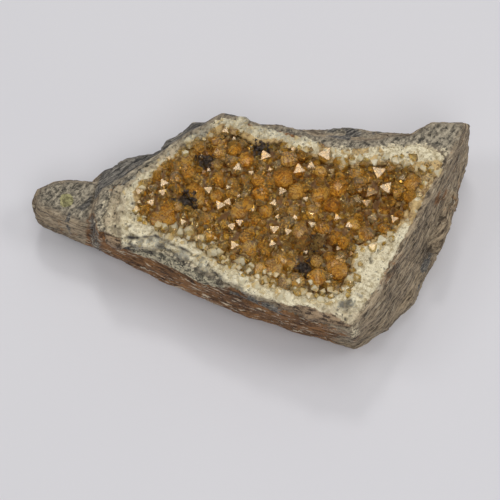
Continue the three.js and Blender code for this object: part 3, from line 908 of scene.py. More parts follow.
class Skin:
    """A solid's surface as a fine, even mesh in millimetres, worked on as arrays."""

    def __init__(self, name: str, node: str, grid: float) -> None:
        """Copies a solid and makes its mesh even.

        Args:
            name: the new piece's name.
            node: the solid's name.
            grid: size of the new faces in millimetres.
        """
        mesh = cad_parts[node].data.copy()
        mesh.transform(Matrix.Scale(MM, 4))
        mesh.materials.clear()
        shape = bmesh.new()
        shape.from_mesh(mesh)
        bmesh.ops.remove_doubles(shape, verts=shape.verts, dist=1e-3)
        shape.to_mesh(mesh)
        shape.free()
        self.piece = new_piece(name, mesh)
        remesh = self.piece.modifiers.new("even", "REMESH")
        remesh.mode = "VOXEL"
        remesh.voxel_size = grid
        apply_modifiers(self.piece)
        self.mesh = self.piece.data
        self.points = np.empty(len(self.mesh.vertices) * 3)
        self.mesh.vertices.foreach_get("co", self.points)
        self.points = self.points.reshape(-1, 3)
        ends = np.empty(len(self.mesh.edges) * 2, np.int32)
        self.mesh.edges.foreach_get("vertices", ends)
        self.starts, self.ends = ends.reshape(-1, 2).T
        both = np.concatenate([self.starts, self.ends])
        self.links = np.maximum(np.bincount(both, minlength=len(self.points)), 1)

    def around(self, values: np.ndarray) -> np.ndarray:
        """Averages a value over each point's neighbours."""
        count = len(self.points)
        there = np.bincount(self.starts, values[self.ends], count)
        back = np.bincount(self.ends, values[self.starts], count)
        return (there + back) / self.links

    def soften(self, values: np.ndarray, times: int) -> np.ndarray:
        """Evens out a value over the surface.

        Args:
            values: one number or row a point.
            times: how often each point is averaged with its neighbours.

        Returns:
            The softened values.
        """
        columns = values.reshape(len(values), -1).T
        for _ in range(times):
            columns = np.stack([0.5 * column + 0.5 * self.around(column) for column in columns])
        return columns.T.reshape(values.shape)

    def normals(self, times: int = 0) -> np.ndarray:
        """Gives the way that the surface faces at each point, softened a number of times."""
        self.mesh.vertices.foreach_set("co", self.points.ravel())
        self.mesh.update()
        ways = np.empty(len(self.points) * 3, np.float32)
        self.mesh.vertex_normals.foreach_get("vector", ways)
        ways = self.soften(ways.reshape(-1, 3).astype(float), times)
        return ways / np.maximum(np.linalg.norm(ways, axis=1), 1e-9)[:, None]

    def move(self, ways: np.ndarray, distance: np.ndarray, floor: float = 0.0) -> None:
        """Moves the points, and keeps them on or above a height.

        Args:
            ways: the direction that each point moves in.
            distance: how far it moves, in millimetres.
            floor: the lowest height.
        """
        self.points = self.points + ways * distance[:, None]
        self.points[:, 2] = np.maximum(self.points[:, 2], floor)

    def mark(self, zone: Zone, values: np.ndarray) -> None:
        """Stores a mask on the mesh."""
        layer = self.mesh.attributes.new(zone.value, "FLOAT", "POINT")
        layer.data.foreach_set("value", np.clip(values, 0.0, 1.0).astype(np.float32))

    def done(self) -> bpy.types.Object:
        """Writes the points back and gives the piece, shaded smooth."""
        self.mesh.vertices.foreach_set("co", self.points.ravel())
        self.mesh.polygons.foreach_set("use_smooth", np.ones(len(self.mesh.polygons), bool))
        self.mesh.update()
        return self.piece


def distance_to(node: str, points: np.ndarray) -> np.ndarray:
    """Measures how far points lie from one of the solids.

    Args:
        node: the solid's name.
        points: places in millimetres, three numbers a row.

    Returns:
        Distances in millimetres.
    """
    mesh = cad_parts[node].data
    faces = [side.vertices[:] for side in mesh.polygons]
    tree = BVHTree.FromPolygons([v.co * MM for v in mesh.vertices], faces)
    return np.array([tree.find_nearest(Vector(point))[3] for point in points])


@dataclass
class WallRock:
    """The block of foliated rock: broken beds on its sides, a dark ledge, a horn and a knob."""

    grid: float = 0.30
    rounding: int = 2
    lump_depth: float = 0.5
    plate_size: Colour = (4.5, 4.5, 0.6)
    plate_depth: float = 0.30
    bed_depth: float = 0.18
    chip_size: Colour = (3.0, 3.0, 0.9)
    chip_depth: float = 0.55
    grain_depth: float = 0.22
    pit_depth: float = 0.5
    mean_depth: float = 0.36  # of the relief, which is spread to both sides of the solid's face
    seam_reach: float = 1.1  # how far from the vein the rock grows against it
    seam_growth: float = 0.38
    still_height: float = 0.5  # below this the underside stays flat
    front_way: Colour = (-0.354, -0.935, 0.0)
    right_way: Colour = (0.854, -0.521, 0.0)
    crest_place: tuple[float, float] = (22.4, -5.3)  # on the edge between the vein and the right face
    crest_way: tuple[float, float] = (0.872, -0.490)
    ledge_start: tuple[float, float] = (-22.9, 4.4)
    ledge_way: tuple[float, float] = (-0.539, 0.842)
    groove_start: tuple[float, float] = (-23.3, 5.4)  # the dark seam between the knob and the block
    groove_way: tuple[float, float] = (-0.685, 0.728)
    grain_centre: Colour = (-28.4, 3.8, 10.6)
    grain_radius: float = 1.2

    def build(self, finish: RockFinish) -> bpy.types.Object:
        """Makes the rock's skin.

        Args:
            finish: what it is made of.

        Returns:
            The piece.
        """
        noise = Noise(11)
        skin = Skin("rock_skin", "wall_rock", self.grid)
        skin.points = skin.soften(skin.points, self.rounding)
        lowest = np.percentile(skin.points[:, 2], 0.5)
        ways = skin.normals(4)
        still = smooth(skin.points[:, 2], lowest, self.still_height + 0.6)
        sides = smooth(np.abs(ways[:, 2]), 0.95, 0.6)
        near = distance_to("vein_crust", skin.points)
        seam = smooth(near, self.seam_reach, 0.35)
        depth = self.relief(noise, skin.points, sides) - self.mean_depth
        skin.move(ways, (self.seam_growth * seam - depth * (1 - 0.7 * seam)) * still)
        fine = noise.grains(skin.points, 0.85).lean
        skin.move(skin.normals(1), self.grain_depth * fine * still * (1 - 0.4 * sides))
        # how far the rock is sunk below its surroundings; it is painted as shade
        low = np.maximum(depth - skin.soften(depth, 12), 0.0) * (1 - seam)
        self.mark_zones(noise, skin, ways, low, near, sides)
        piece = skin.done()
        dress(piece, finish.material(), "wall_rock", "wall_rock")
        return piece

    def relief(self, noise: Noise, points: np.ndarray, sides: np.ndarray) -> np.ndarray:
        """Works out how far the rock is worn back.

        Args:
            noise: the noise to draw on.
            points: places on the surface.
            sides: 1 on the block's sides and 0 on flat stretches.

        Returns:
            Depths in millimetres.
        """
        sway = noise.lumps(points, 9.0, 2)
        tilted = points.copy()
        across = (points[:, :2] - self.crest_place) @ np.array(self.crest_way)
        tilted[:, 2] += 0.9 * sway + RockFinish.dip * np.maximum(across, 0.0)
        lumps = 0.5 - 0.5 * noise.lumps(points, 3.4)
        plates = noise.grains(tilted / np.array(self.plate_size), 1.0).own
        beds = 0.5 - 0.5 * noise.lumps(tilted / np.array([5.0, 5.0, 0.6]), 1.0, 2)
        hollows = noise.grains(points, 1.9)
        pits = smooth(hollows.nearest, 0.3, 0.12) * (hollows.own > 0.72)
        chips = noise.grains((points + 0.25 * sway[:, None]) / np.array(self.chip_size), 1.0).lean
        depth = self.lump_depth * lumps * (0.8 - 0.3 * sides) + self.chip_depth * chips * (1 - 0.4 * sides)
        uneven = 0.65 + 0.5 * noise.lumps(points + 60.0, 3.6)
        depth += sides * uneven * (self.plate_depth * plates ** 2 + self.bed_depth * beds)
        return depth + self.pit_depth * pits * (1 - 0.6 * sides)

    def mark_zones(self, noise: Noise, skin: Skin, ways: np.ndarray, low: np.ndarray,
                   near: np.ndarray, sides: np.ndarray) -> None:
        """Stores where the rock is rusty, slaty, pale, granular or flat, and where shade is painted in its
        recesses and along a cleft.

        Args:
            noise: the noise to draw on.
            skin: the skin to mark.
            ways: the way that the surface faces.
            low: how far each point lies below its surroundings.
            near: each point's distance from the vein.
            sides: 1 on the block's sides and 0 on flat stretches.
        """
        points = skin.points
        x, y, z = points.T
        wander = noise.lumps(points + 40.0, 5.0)
        broken = noise.lumps(points + 80.0, 1.6)
        front = smooth(ways @ np.array(self.front_way), 0.1, 0.4) * smooth(x, -26.5, -24.0)
        right = smooth(ways @ np.array(self.right_way), 0.3, 0.6) * (1 - front)
        beyond = (np.stack([x, y], 1) - self.ledge_start) @ np.array(self.ledge_way)
        ledge = smooth(beyond, -0.6, 0.5) * smooth(x, -24.5, -23.0) * smooth(x, -5.5, -8.0)
        groove = (np.stack([x, y], 1) - self.groove_start) @ np.array(self.groove_way)
        groove = np.exp(-((groove + 0.9 * broken) / 0.7) ** 2)
        groove = groove * smooth(x, -29.5, -28.0) * smooth(x, -22.0, -23.0)
        groove = groove * smooth(ways[:, 2], -0.3, 0.2) * smooth(wander + broken, -0.6, 0.1)
        knob = smooth(x, -24.6, -25.8)
        across = (np.stack([x, y], 1) - self.crest_place) @ np.array(self.crest_way)
        beside = smooth(across, -0.6, 0.3) * smooth(x, 14.5, 16.5)
        # a painted shadow line along the cleft under the vein's lip
        crack_shadow = np.exp(-((near - 1.0 - 0.4 * wander) / 0.36) ** 2) * smooth(broken, -0.8, -0.2)
        crack_shadow = crack_shadow * smooth(x, -22.0, -20.0) * smooth(x, -2.0, -6.0)
        crack_shadow = crack_shadow * smooth(ways @ np.array(self.front_way), 0.0, 0.3)
        seam_line = front * smooth(x, -21.5, -19.0) * smooth(x, 8.0, 3.0) * smooth(near, 2.0, 1.2)
        band = front * smooth(x, -19.5, -16.5) * smooth(x, -1.0, -7.0)
        granular = band * smooth(z + 0.9 * broken - 0.20 * (x + 12.0), 11.3, 12.5)
        rust = front * smooth(x + 4 * wander, 17.0, 8.0) * (0.9 + 0.4 * wander)
        rust += front * smooth(x, 6.0, 15.0) * smooth(broken + wander, 0.1, 0.5) * 0.7
        lower = smooth(below_line(points, FRONT_EDGE) + 0.5 * broken, -0.5, 0.5)
        rust += lower * smooth(x, -17.0, -19.0) * smooth(x, -26.0, -24.5) * 0.8
        reddish = smooth(y, -5.0, -7.5) * smooth(y, -14.0, -11.5) * 0.45
        reddish = reddish * smooth(z + 0.5 * broken, 13.6, 15.0)
        reddish += smooth(y + 3 * wander, 1.0, 4.0) * smooth(broken, -0.4, 0.4) * 0.45
        rust += np.maximum(right, beside) * reddish
        rust += knob * smooth(wander + 0.4 * broken, 0.15, 0.6) * 0.5
        slate = ledge * (0.85 + 0.5 * broken) + groove * 0.9 + seam_line * smooth(broken, -0.5, 0.2)
        slate += right * np.exp(-((z - 5.5 - 2.5 * wander) / 1.6) ** 2) * smooth(wander + broken, -0.2, 0.5)
        back = smooth(ways[:, 1], 0.2, 0.6) * (1 - ledge)
        slate += back * smooth(wander + 0.6 * broken, 0.05, 0.5) * 0.6
        slate += front * smooth(x, -21.0, -24.0) * 0.6
        strip = smooth(y, 10.8, 12.6) * smooth(x, 22.0, 18.0) * smooth(x, -8.0, -4.0)
        slate += strip * smooth(wander + broken, -0.3, 0.4) * 0.7
        seam = smooth(near + 1.0 * broken, 2.2, 0.2)
        pale = seam * smooth(ways[:, 2] + 0.8 * smooth(x, 6.0, 12.0), 0.1, 0.6) * (1 - beside)
        pale = pale * smooth(broken + wander, -0.4, 0.3)
        left = smooth(x, -16.5, -19.0) * smooth(ways[:, 2], 0.1, 0.6)
        pale += left * smooth(near + 1.2 * broken, 3.0, 0.8) * 0.42
        pale = pale * (1 - lower)
        pale += smooth(beyond, 1.8, 3.0) * ledge * smooth(broken + 0.5 * wander, 0.3, 0.5)
        pale += np.exp(-((x - 15.5) ** 2 + (y + FRONT_SLOPE * z + 13.4) ** 2) / 0.9) * 0.9
        spot = np.linalg.norm(points - self.grain_centre, axis=1) + 0.25 * broken
        skin.mark(Zone.RUST, rust * (1 - granular))
        skin.mark(Zone.SLATE, slate * (1 - granular))
        skin.mark(Zone.GRANULAR, granular)
        skin.mark(Zone.PALE, pale * (1 - seam_line) * (1 - ledge * 0.4))
        skin.mark(Zone.OLIVE, smooth(spot, self.grain_radius + 0.25, self.grain_radius - 0.1))
        # painted shade in the recesses and along the cleft
        skin.mark(Zone.CREVICE, smooth(low, 0.12, 0.4) + crack_shadow)
        skin.mark(Zone.FLAT, skin.soften((1 - sides) * (1 - beside), 8))


@dataclass
class VeinCrust:
    """The pale granular vein: a lumpy, sugary rim round the hollow's stained floor."""

    grid: float = 0.22
    rounding: int = 2
    swelling: float = 0.10  # how far the vein's top stands out
    wall_swelling: float = 0.75  # how far its walls and underside spread, through their seat's clearance
    right_swelling: float = 0.30  # and how far on the right, where its edge is sharp
    floor_height: float = 15.5
    lump_height: float = 0.45
    block_height: float = 0.9
    crumb_height: float = 0.34
    grit_height: float = 0.22
    pit_depth: float = 0.45

    def build(self, finish: VeinFinish, crystals: Sequence["Crystal"]) -> bpy.types.Object:
        """Makes the vein's skin.

        Args:
            finish: what it is made of.
            crystals: what grows in its hollow.

        Returns:
            The piece.
        """
        noise = Noise(23)
        skin = Skin("vein_skin", "vein_crust", self.grid)
        skin.points = skin.soften(skin.points, self.rounding)
        ways = skin.normals(3)
        depth = depth_inside(skin.points[:, :2])
        bed = smooth(depth, 0.1, 0.8) * smooth(skin.points[:, 2], self.floor_height + 0.5, self.floor_height)
        wall = smooth(ways[:, 2], 0.75, 0.2)
        brink = skin.soften(wall, 8)
        right = smooth(ways @ np.array(WallRock.right_way), 0.2, 0.5) * smooth(skin.points[:, 0], 15.0, 17.0)
        spread = self.wall_swelling + (self.right_swelling - self.wall_swelling) * right
        spread = spread * (1 + 0.9 * noise.lumps(skin.points + 5.0, 1.7))
        grown = self.swelling + (spread - self.swelling) * wall
        left = smooth(skin.points[:, 0], -14.5, -17.5)
        lumps = noise.lumps(skin.points, 2.4)
        blocks = noise.grains(skin.points, 1.9).lean
        relief = (self.lump_height * (lumps - 0.2) + self.block_height * blocks) * (1 + 0.9 * left)
        skin.move(ways, (1 - bed) * (grown + relief * (1 - 0.5 * wall)))
        crumbs = noise.grains(skin.points, 0.85).lean
        grit = noise.grains(skin.points + 7.0, 0.55).lean
        height = self.crumb_height * crumbs + self.grit_height * grit
        x = skin.points[:, 0]
        hollows = noise.grains(skin.points + 3.0, 1.3)
        pits = smooth(hollows.nearest, 0.34, 0.14) * (1 - bed)
        pits = pits * (hollows.own > 0.94 - 0.4 * smooth(x, -14.0, -18.0))
        height = height * (1 - 0.6 * bed) - self.pit_depth * pits
        skin.move(skin.normals(1), height)
        self.mark_zones(noise, skin, bed, height, brink)
        skin.mark(Zone.BED, bed)
        # where the floor is painted with light that comes through the crystals
        skin.mark(Zone.GLOW, smooth(cover(skin.points[:, :2], crystals), 0.12, 0.5))
        piece = skin.done()
        dress(piece, finish.material(), "vein_crust", "vein_crust")
        return piece

    def mark_zones(self, noise: Noise, skin: Skin, bed: np.ndarray, height: np.ndarray,
                   brink: np.ndarray) -> None:
        """Stores where the vein is stained, grey or tan, where its floor is dark in the dips, and where shade
        is painted between its grains and along a cleft.

        Args:
            noise: the noise to draw on.
            skin: the skin to mark.
            bed: 1 on the hollow's floor and 0 on the rim.
            height: the relief of the sugary grains.
            brink: 1 on the vein's outer walls, falling to 0 on its top.
        """
        points = skin.points
        x, y, z = points.T
        depth = depth_inside(points[:, :2])
        wander = noise.lumps(points + 40.0, 3.2)
        broken = noise.lumps(points + 80.0, 1.3)
        right = smooth(x, 7.0, 12.0) * smooth(y, -4.0, 0.0)
        stain = smooth(depth + 0.5 * wander, -0.6, 0.4) + right * smooth(wander + broken, 0.15, 0.5) * 0.7
        corner = smooth(x, 21.5, 23.5) * smooth(y, -3.5, -1.0) * smooth(y, 8.8, 7.0)
        stain += corner * smooth(broken + 0.7 * wander, -0.6, 0.0)
        upper_left = smooth(x, -2.0, -4.0) * smooth(y, 2.0, 4.0)
        stain += upper_left * smooth(depth + 0.5 * wander + 0.5 * broken, -1.6, -0.4) * 0.35
        tan = smooth(x + 3.0 * wander, -17.9, -20.4) * (0.45 + 0.35 * smooth(broken, -0.4, 0.4))
        tan += smooth(wander + broken, 0.35, 0.8) * 0.4
        tan += smooth(brink + 0.6 * broken, 0.4, 1.0) * 0.7
        tan += smooth(y + 1.5 * broken, -13.8, -16.0) * smooth(x, 8.0, 11.0) * 0.5
        back_left = smooth(y - 0.64 * x - 19.0 + 0.8 * broken, -3.6, -1.4) * smooth(x, -3.0, -7.0)
        tan += back_left * 0.9
        ash = smooth(y - 0.28 * np.abs(x) + wander, 7.0, 9.0) * smooth(x, 22.0, 14.0) * 0.45
        ash += smooth(brink, 0.5, 0.9) * smooth(broken, 0.0, 0.5) * 0.6
        ash += back_left * smooth(broken, 0.0, 0.4) * 0.6
        ash += smooth(wander + 0.5 * broken, 0.35, 0.7) * 0.6
        blotch = np.exp(-((x - 14.0) ** 2 + (y + 15.4) ** 2) / 2.4)
        ash += blotch * smooth(broken, -0.3, 0.2)
        grey = below_line(points, GREY_EDGE) + 0.35 * broken
        reach = smooth(x, -19.5, -18.0) * smooth(x, 2.5, -1.0) * (1 - bed)
        ash += smooth(grey, -0.2, 0.3) * reach * (0.35 + 0.55 * smooth(broken, -0.1, 0.4))
        dips = [np.exp(-((x - dx) ** 2 + (y - dy) ** 2) / (size * 0.85) ** 2) for dx, dy, size in DARK_DIPS]
        deep = smooth(np.max(dips[:-1], axis=0), 0.25, 0.7) * bed  # the last one is only murky
        # painted shade where the grains lie low, plus a dark blotch at the front right
        gap_shade_and_blotch = smooth(height, -0.08, -0.28) * (1 - bed) * (0.6 + 0.35 * smooth(x, -14.5, -17.5))
        gap_shade_and_blotch += smooth(blotch + 0.4 * broken, 0.55, 0.9) * 0.6
        # a painted shadow line along a cleft at the top of the grey lower part
        crack_shadow = np.exp(-((grey - 0.1 - 0.3 * wander + 0.5 * height) / 0.24) ** 2)
        crack_shadow = crack_shadow * (0.35 + 0.65 * smooth(wander + 1.5 * broken, -0.7, 0.2))
        gap_shade_and_blotch += crack_shadow * reach * smooth(x, -2.0, -6.0) * 1.1
        skin.mark(Zone.RUST, smooth(below_line(points, FRONT_EDGE) + 0.5 * broken, -0.5, 0.5))
        skin.mark(Zone.STAIN, stain)
        skin.mark(Zone.TAN, tan)
        skin.mark(Zone.ASH, ash)
        skin.mark(Zone.CREVICE, deep + gap_shade_and_blotch)


Template = tuple[np.ndarray, list[tuple[int, ...]]]


def unit_crystal(habit: Habit, variant: int, unevenness: float = 0.07) -> Template:
    """Works out a crystal of radius 1 from the planes of its faces.

    Args:
        habit: how far its edges and corners are cut back.
        variant: which of the habit's uneven forms.
        unevenness: how much the planes' distances vary, as a share.

    Returns:
        Its points, and its triangles as indices of them.
    """
    signs = [s for s in itertools.product((-1, 0, 1), repeat=3) if any(s)]
    planes = np.array(signs, float)
    kinds = np.abs(planes).sum(axis=1).astype(int)
    planes /= np.linalg.norm(planes, axis=1)[:, None]
    share = {3: 1.0, 2: habit.edge, 1: habit.corner}
    reach = {3: 1 / math.sqrt(3), 2: 1 / math.sqrt(2), 1: 1.0}
    far = np.array([reach[k] * share[k] for k in kinds])
    far *= [1 + unevenness * (chance(variant * 31 + i, 11) - 0.5) * 2 for i in range(len(far))]
    triples = np.array(list(itertools.combinations(range(len(planes)), 3)))
    faces = planes[triples]
    solvable = np.abs(np.linalg.det(faces)) > 1e-3
    corners = np.linalg.solve(faces[solvable], far[triples[solvable]][..., None])[..., 0]
    inside = (corners @ planes.T <= far + 1e-6).all(axis=1)
    points = np.unique(corners[inside].round(5), axis=0)
    return hull_of(points)


def hull_of(points: np.ndarray) -> Template:
    """Wraps points in a closed skin.

    Args:
        points: places, three numbers a row.

    Returns:
        The points on the skin, and its triangles.
    """
    shape = bmesh.new()
    for point in points:
        shape.verts.new(point)
    made = bmesh.ops.convex_hull(shape, input=shape.verts)
    loose = {v for v in made["geom_interior"] + made["geom_unused"] if isinstance(v, bmesh.types.BMVert)}
    bmesh.ops.delete(shape, geom=list(loose), context="VERTS")
    shape.verts.index_update()
    kept = np.array([v.co[:] for v in shape.verts])
    triangles = [tuple(v.index for v in face.verts) for face in shape.faces]
    shape.free()
    return kept, triangles


@dataclass(frozen=True)
class Crystal:
    """One crystal before it is grown together with its neighbours, in millimetres."""

    x: float
    y: float
    radius: float
    turn: Matrix
    habit: Habit
    variant: int
    rough: float  # of its faces
    shade: float  # its own share of dark, from 0 to 1
    lift: float = 0.0
    level: bool = False  # whether it turns one flat face up

    @property
    def centre(self) -> np.ndarray:
        """Gives the crystal's centre."""
        return np.array([self.x, self.y, growth_height(self.x, self.y, self.radius) + self.lift])


def cover(places: np.ndarray, crystals: Sequence[Crystal]) -> np.ndarray:
    """Tells how well places on the ground are covered by crystals.

    Args:
        places: x and y in millimetres, two numbers a row.
        crystals: the crystals.

    Returns:
        1 under a crystal's middle, falling to 0 at its side and beyond.
    """
    centres = np.array([(c.x, c.y) for c in crystals])
    radii = np.array([c.radius for c in crystals])
    found = np.zeros(len(places))
    for start in range(0, len(places), CHUNK):
        part = places[start:start + CHUNK]
        far = np.linalg.norm(part[:, None] - centres[None], axis=2) / radii
        found[start:start + CHUNK] = 1 - far.min(axis=1)
    return np.clip(found, 0, 1)


def mesh_of(parts: Sequence[Template], name: str) -> bpy.types.Mesh:
    """Joins closed forms in one mesh.

    Args:
        parts: the points and faces of each.
        name: the mesh's name.

    Returns:
        The joined mesh.
    """
    points: list[np.ndarray] = []
    faces: list[tuple[int, ...]] = []
    count = 0
    for places, sides in parts:
        points.append(places)
        faces.extend(tuple(i + count for i in side) for side in sides)
        count += len(places)
    mesh = bpy.data.meshes.new(name)
    mesh.from_pydata(np.concatenate(points).tolist(), [], faces)
    mesh.validate()
    return mesh


def near_turn(turn: Matrix, index: int, degrees: float) -> Matrix:
    """Gives a turn that differs from another by some degrees at most."""
    axis = Vector([chance(index, channel) - 0.5 for channel in (53, 54, 55)]).normalized()
    return Quaternion(axis, math.radians(degrees * chance(index, 56))).to_matrix() @ turn


def any_turn(index: int) -> Matrix:
    """Gives a crystal's own turn, the one that the solids use."""
    x, y, z = (2 * math.pi * chance(index, channel) for channel in (3, 4, 5))
    return Matrix.Rotation(x, 3, "X") @ Matrix.Rotation(y, 3, "Y") @ Matrix.Rotation(z, 3, "Z")


@dataclass
class FluoriteDruse:
    """The crust of amber crystals, grown together in one solid."""

    slab_low: float = 15.0
    slab_top: float = 15.3
    slab_margin: float = 0.25
    variants: int = 8
    small_tries: int = 4200
    small_radius: tuple[float, float] = (0.50, 1.05)
    small_crowding: float = 0.56
    small_margin: float = -0.5
    small_lift: tuple[float, float] = (-0.45, 0.1)
    sharp_reach: float = 1.5  # how far from the hollow's edge the small crystals are all sharp
    perch: float = 0.15  # how high above the vein the centres of those beyond the edge lie
    seat_margin: float = 0.8  # how far inside the vein's own edge those stay
    seat_least: float = 14.5
    level_crowding: float = 0.92  # round crystals that turn a flat face up
    level_share: float = 0.16  # of the small crystals
    level_lift: float = 0.25
    level_rough: float = 0.15
    level_dishing: float = 0.003  # how much their faces lean to the middle, per millimetre from it
    face_reach: float = 0.5  # share of a level crystal's radius that its flat face reaches
    face_height: float = 0.577  # and that it stands above the centre
    fullness: float = 0.8  # share of its radius that any other crystal reaches
    most_drop: float = 0.9
    under_tries: int = 1500
    under_radius: tuple[float, float] = (0.45, 0.8)
    under_height: tuple[float, float] = (15.5, 15.95)
    under_crowding: float = 0.62
    under_margin: float = -0.1
    jitter: float = 0.35  # how far a filling crystal may stray from its place
    growing: tuple[float, float] = (0.88, 1.2)  # and how its size may vary
    level_growing: tuple[float, float] = (0.8, 1.05)
    side_count: int = 2  # smaller crystals grown into each larger one, almost in line with it
    side_radius: tuple[float, float] = (0.6, 0.86)
    side_reach: float = 0.36
    side_least: float = 0.8  # radius above which a crystal has them
    side_turn: float = 24.0
    tilt: float = 1.5  # how far a flat face on top may lean, in degrees
    right_tilt: float = 4.0  # and on the right, where few of them gleam
    # painted reflection: each face of a crystal is tinted on its own, as if lit by light reflected inside it
    painted_facet_reflection: float = 0.64  # how much the tint differs between a crystal's faces
    murky: tuple[float, float, float] = (9.8, -5.6, 2.4)  # x, y and reach of the smoky crystals
    bright: tuple[tuple[float, float, float], ...] = (  # x, y and reach of orange-bright crystals
        (12.7, -9.6, 2.0), (4.4, 10.4, 1.2), (19.8, 6.2, 1.6), (20.8, 3.5, 1.3), (-4.8, -6.5, 2.5),
    )

    def crystals(self) -> list[Crystal]:
        """Lists all the crystals of the crust."""
        large = self.large_crystals()
        grown = large + self.small_crystals(large, Ground(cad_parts["vein_crust"]))
        grown += [side for i, crystal in enumerate(grown) for side in self.sides_of(crystal, i)]
        level = [crystal for crystal in large if crystal.level]
        grown = [crystal if crystal.level else self.bowed(crystal, level) for crystal in grown]
        grown += self.under_crystals()
        log.info("%d crystals", len(grown))
        return grown

    def build(self, finish: AmberFinish, crystals: Sequence[Crystal]) -> bpy.types.Object:
        """Grows the crust.

        Args:
            finish: what it is made of.
            crystals: the crystals that it is made up of.

        Returns:
            The piece.
        """
        templates = {(habit, variant): unit_crystal(habit, variant)
                     for habit in Habit for variant in range(self.variants)}
        piece = new_piece("amber_crystals", self.slab())
        for batch in self.batches(crystals):
            forms = [self.placed(crystal, templates) for crystal in batch]
            self.cut(piece, new_piece("grown", mesh_of(forms, "grown")), "UNION")
        self.cut(piece, self.ground(), "DIFFERENCE")
        self.mark_growth(piece.data, crystals)
        piece.data.polygons.foreach_set("use_smooth", np.zeros(len(piece.data.polygons), bool))
        dress(piece, finish.material(), "fluorite", "fluorite_druse")
        return piece

    def level_turn(self, index: int, degrees: float, x: float, y: float) -> Matrix:
        """Turns a crystal so that one flat face looks up.

        Args:
            index: the crystal's number.
            degrees: the turn of that face.
            x: the crystal's place across, in millimetres.
            y: its place in depth.

        Returns:
            The turn.
        """
        most = self.right_tilt if x > 15.0 else self.tilt
        lean = Quaternion((1, 0, 0), math.radians(most * (2 * chance(index, 21) - 1)))
        up = (lean @ (FACE_UP - self.level_dishing * Vector((x, y, 0)))).normalized()
        face = Vector((1, 1, 1)).normalized().rotation_difference(up)
        return (Quaternion(up, math.radians(degrees)) @ face).to_matrix()

    def large_crystals(self) -> list[Crystal]:
        """Lists the crystals that the solids have, where they have them."""
        grown = []
        for i, (x, y, radius, degrees) in enumerate(TABLE_FACED):
            grown.append(Crystal(x, y, radius, self.level_turn(i, degrees, x, y), Habit.SHARP,
                                 i % self.variants, self.level_rough, chance(i, 25), self.level_lift,
                                 True))
        for i, (x, y, radius) in enumerate(STOUT):
            turn = any_turn(i + FILL_TRIES)
            grown.append(Crystal(x, y, radius, turn, Habit.STOUT, i % self.variants, 0.05, chance(i, 29)))
        low, high = FILL_RADIUS
        for i, (x, y) in self.spread(FILL_TRIES):
            radius = low + (high - low) * chance(i, 6)
            if self.has_room(grown, x, y, radius, FILL_CROWDING, FILL_MARGIN):
                habit = (Habit.ROUND, Habit.SHARP, Habit.STOUT)[int(3 * chance(i, 8))]
                rough = 0.03 + 0.12 * chance(i, 9) ** 2
                grown.append(Crystal(x, y, radius, any_turn(i), habit, i % self.variants, rough,
                                     chance(i, 25)))
        return [self.strayed(crystal, i) for i, crystal in enumerate(grown)]

    def strayed(self, crystal: Crystal, index: int) -> Crystal:
        """Gives a crystal its own small change of place and size, so that none stand in rows.

        Args:
            crystal: the crystal as the solids have it.
            index: its number.

        Returns:
            The changed crystal.
        """
        least, most = self.level_growing if crystal.level else self.growing
        return replace(
            crystal,
            x=crystal.x + self.jitter * (2 * chance(index, 22) - 1),
            y=crystal.y + self.jitter * (2 * chance(index, 23) - 1),
            radius=crystal.radius * crystal.habit.growth * (least + (most - least) * chance(index, 24)),
        )

    def bowed(self, crystal: Crystal, level: Sequence[Crystal]) -> Crystal:
        """Lowers a crystal that would cover a flat face beside it.

        Args:
            crystal: the crystal.
            level: the crystals that turn a flat face up.

        Returns:
            The crystal, lower if it has to be.
        """
        drop = 0.0
        top = crystal.centre[2] + self.fullness * crystal.radius
        for other in level:
            away = math.hypot(crystal.x - other.x, crystal.y - other.y)
            if away < self.face_reach * other.radius + self.fullness * crystal.radius:
                drop = max(drop, top - other.centre[2] - self.face_height * other.radius)
        return replace(crystal, lift=crystal.lift - min(drop, self.most_drop))

    def sides_of(self, crystal: Crystal, index: int) -> list[Crystal]:
        """Grows smaller crystals into the side of a larger one.

        Args:
            crystal: the larger one.
            index: its number.

        Returns:
            The smaller ones.
        """
        if crystal.level or crystal.radius < self.side_least:
            return []
        low, high = self.side_radius
        sides = []
        for s in range(self.side_count):
            key = index * self.side_count + s
            radius = crystal.radius * (low + (high - low) * chance(key, 50))
            angle = 2 * math.pi * chance(key, 51)
            rise = 0.8 * chance(key, 52)
            out = self.side_reach * crystal.radius * math.sqrt(1 - rise * rise)
            x, y = crystal.x + out * math.cos(angle), crystal.y + out * math.sin(angle)
            wanted = crystal.centre[2] + self.side_reach * crystal.radius * rise
            turn = near_turn(crystal.turn, key, self.side_turn)
            side = replace(crystal, x=x, y=y, radius=radius, turn=turn, lift=0.0)
            sides.append(replace(side, lift=wanted - side.centre[2]))
        return sides

    def under_crystals(self) -> list[Crystal]:
        """Lists the small low crystals that show between the others."""
        grown: list[Crystal] = []
        low, high = self.under_radius
        deep, top = self.under_height
        for i, (x, y) in self.spread(self.under_tries, 0.71):
            radius = low + (high - low) * chance(i, 36)
            if self.has_room(grown, x, y, radius, self.under_crowding, self.under_margin):
                lift = deep + (top - deep) * chance(i, 37) - growth_height(x, y, radius)
                grown.append(Crystal(x, y, radius, any_turn(i + 8000), Habit.SHARP, i % self.variants,
                                     0.08, chance(i, 38), lift))
        return grown

    def seat(self, vein: "Ground", x: float, y: float) -> float | None:
        """Finds where a crystal beyond the hollow's edge can sit.

        Args:
            vein: the vein's solid.
            x: the place across, in millimetres.
            y: the place in depth.

        Returns:
            The vein's height, or None where the place is off the vein or close to its outer edge.
        """
        place = np.array([x, y])
        beyond = place + self.seat_margin * (place - HUB) / np.linalg.norm(place - HUB)
        heights = [vein.height(*spot) for spot in (place, beyond)]
        return None if any(h is None or h < self.seat_least for h in heights) else heights[0]

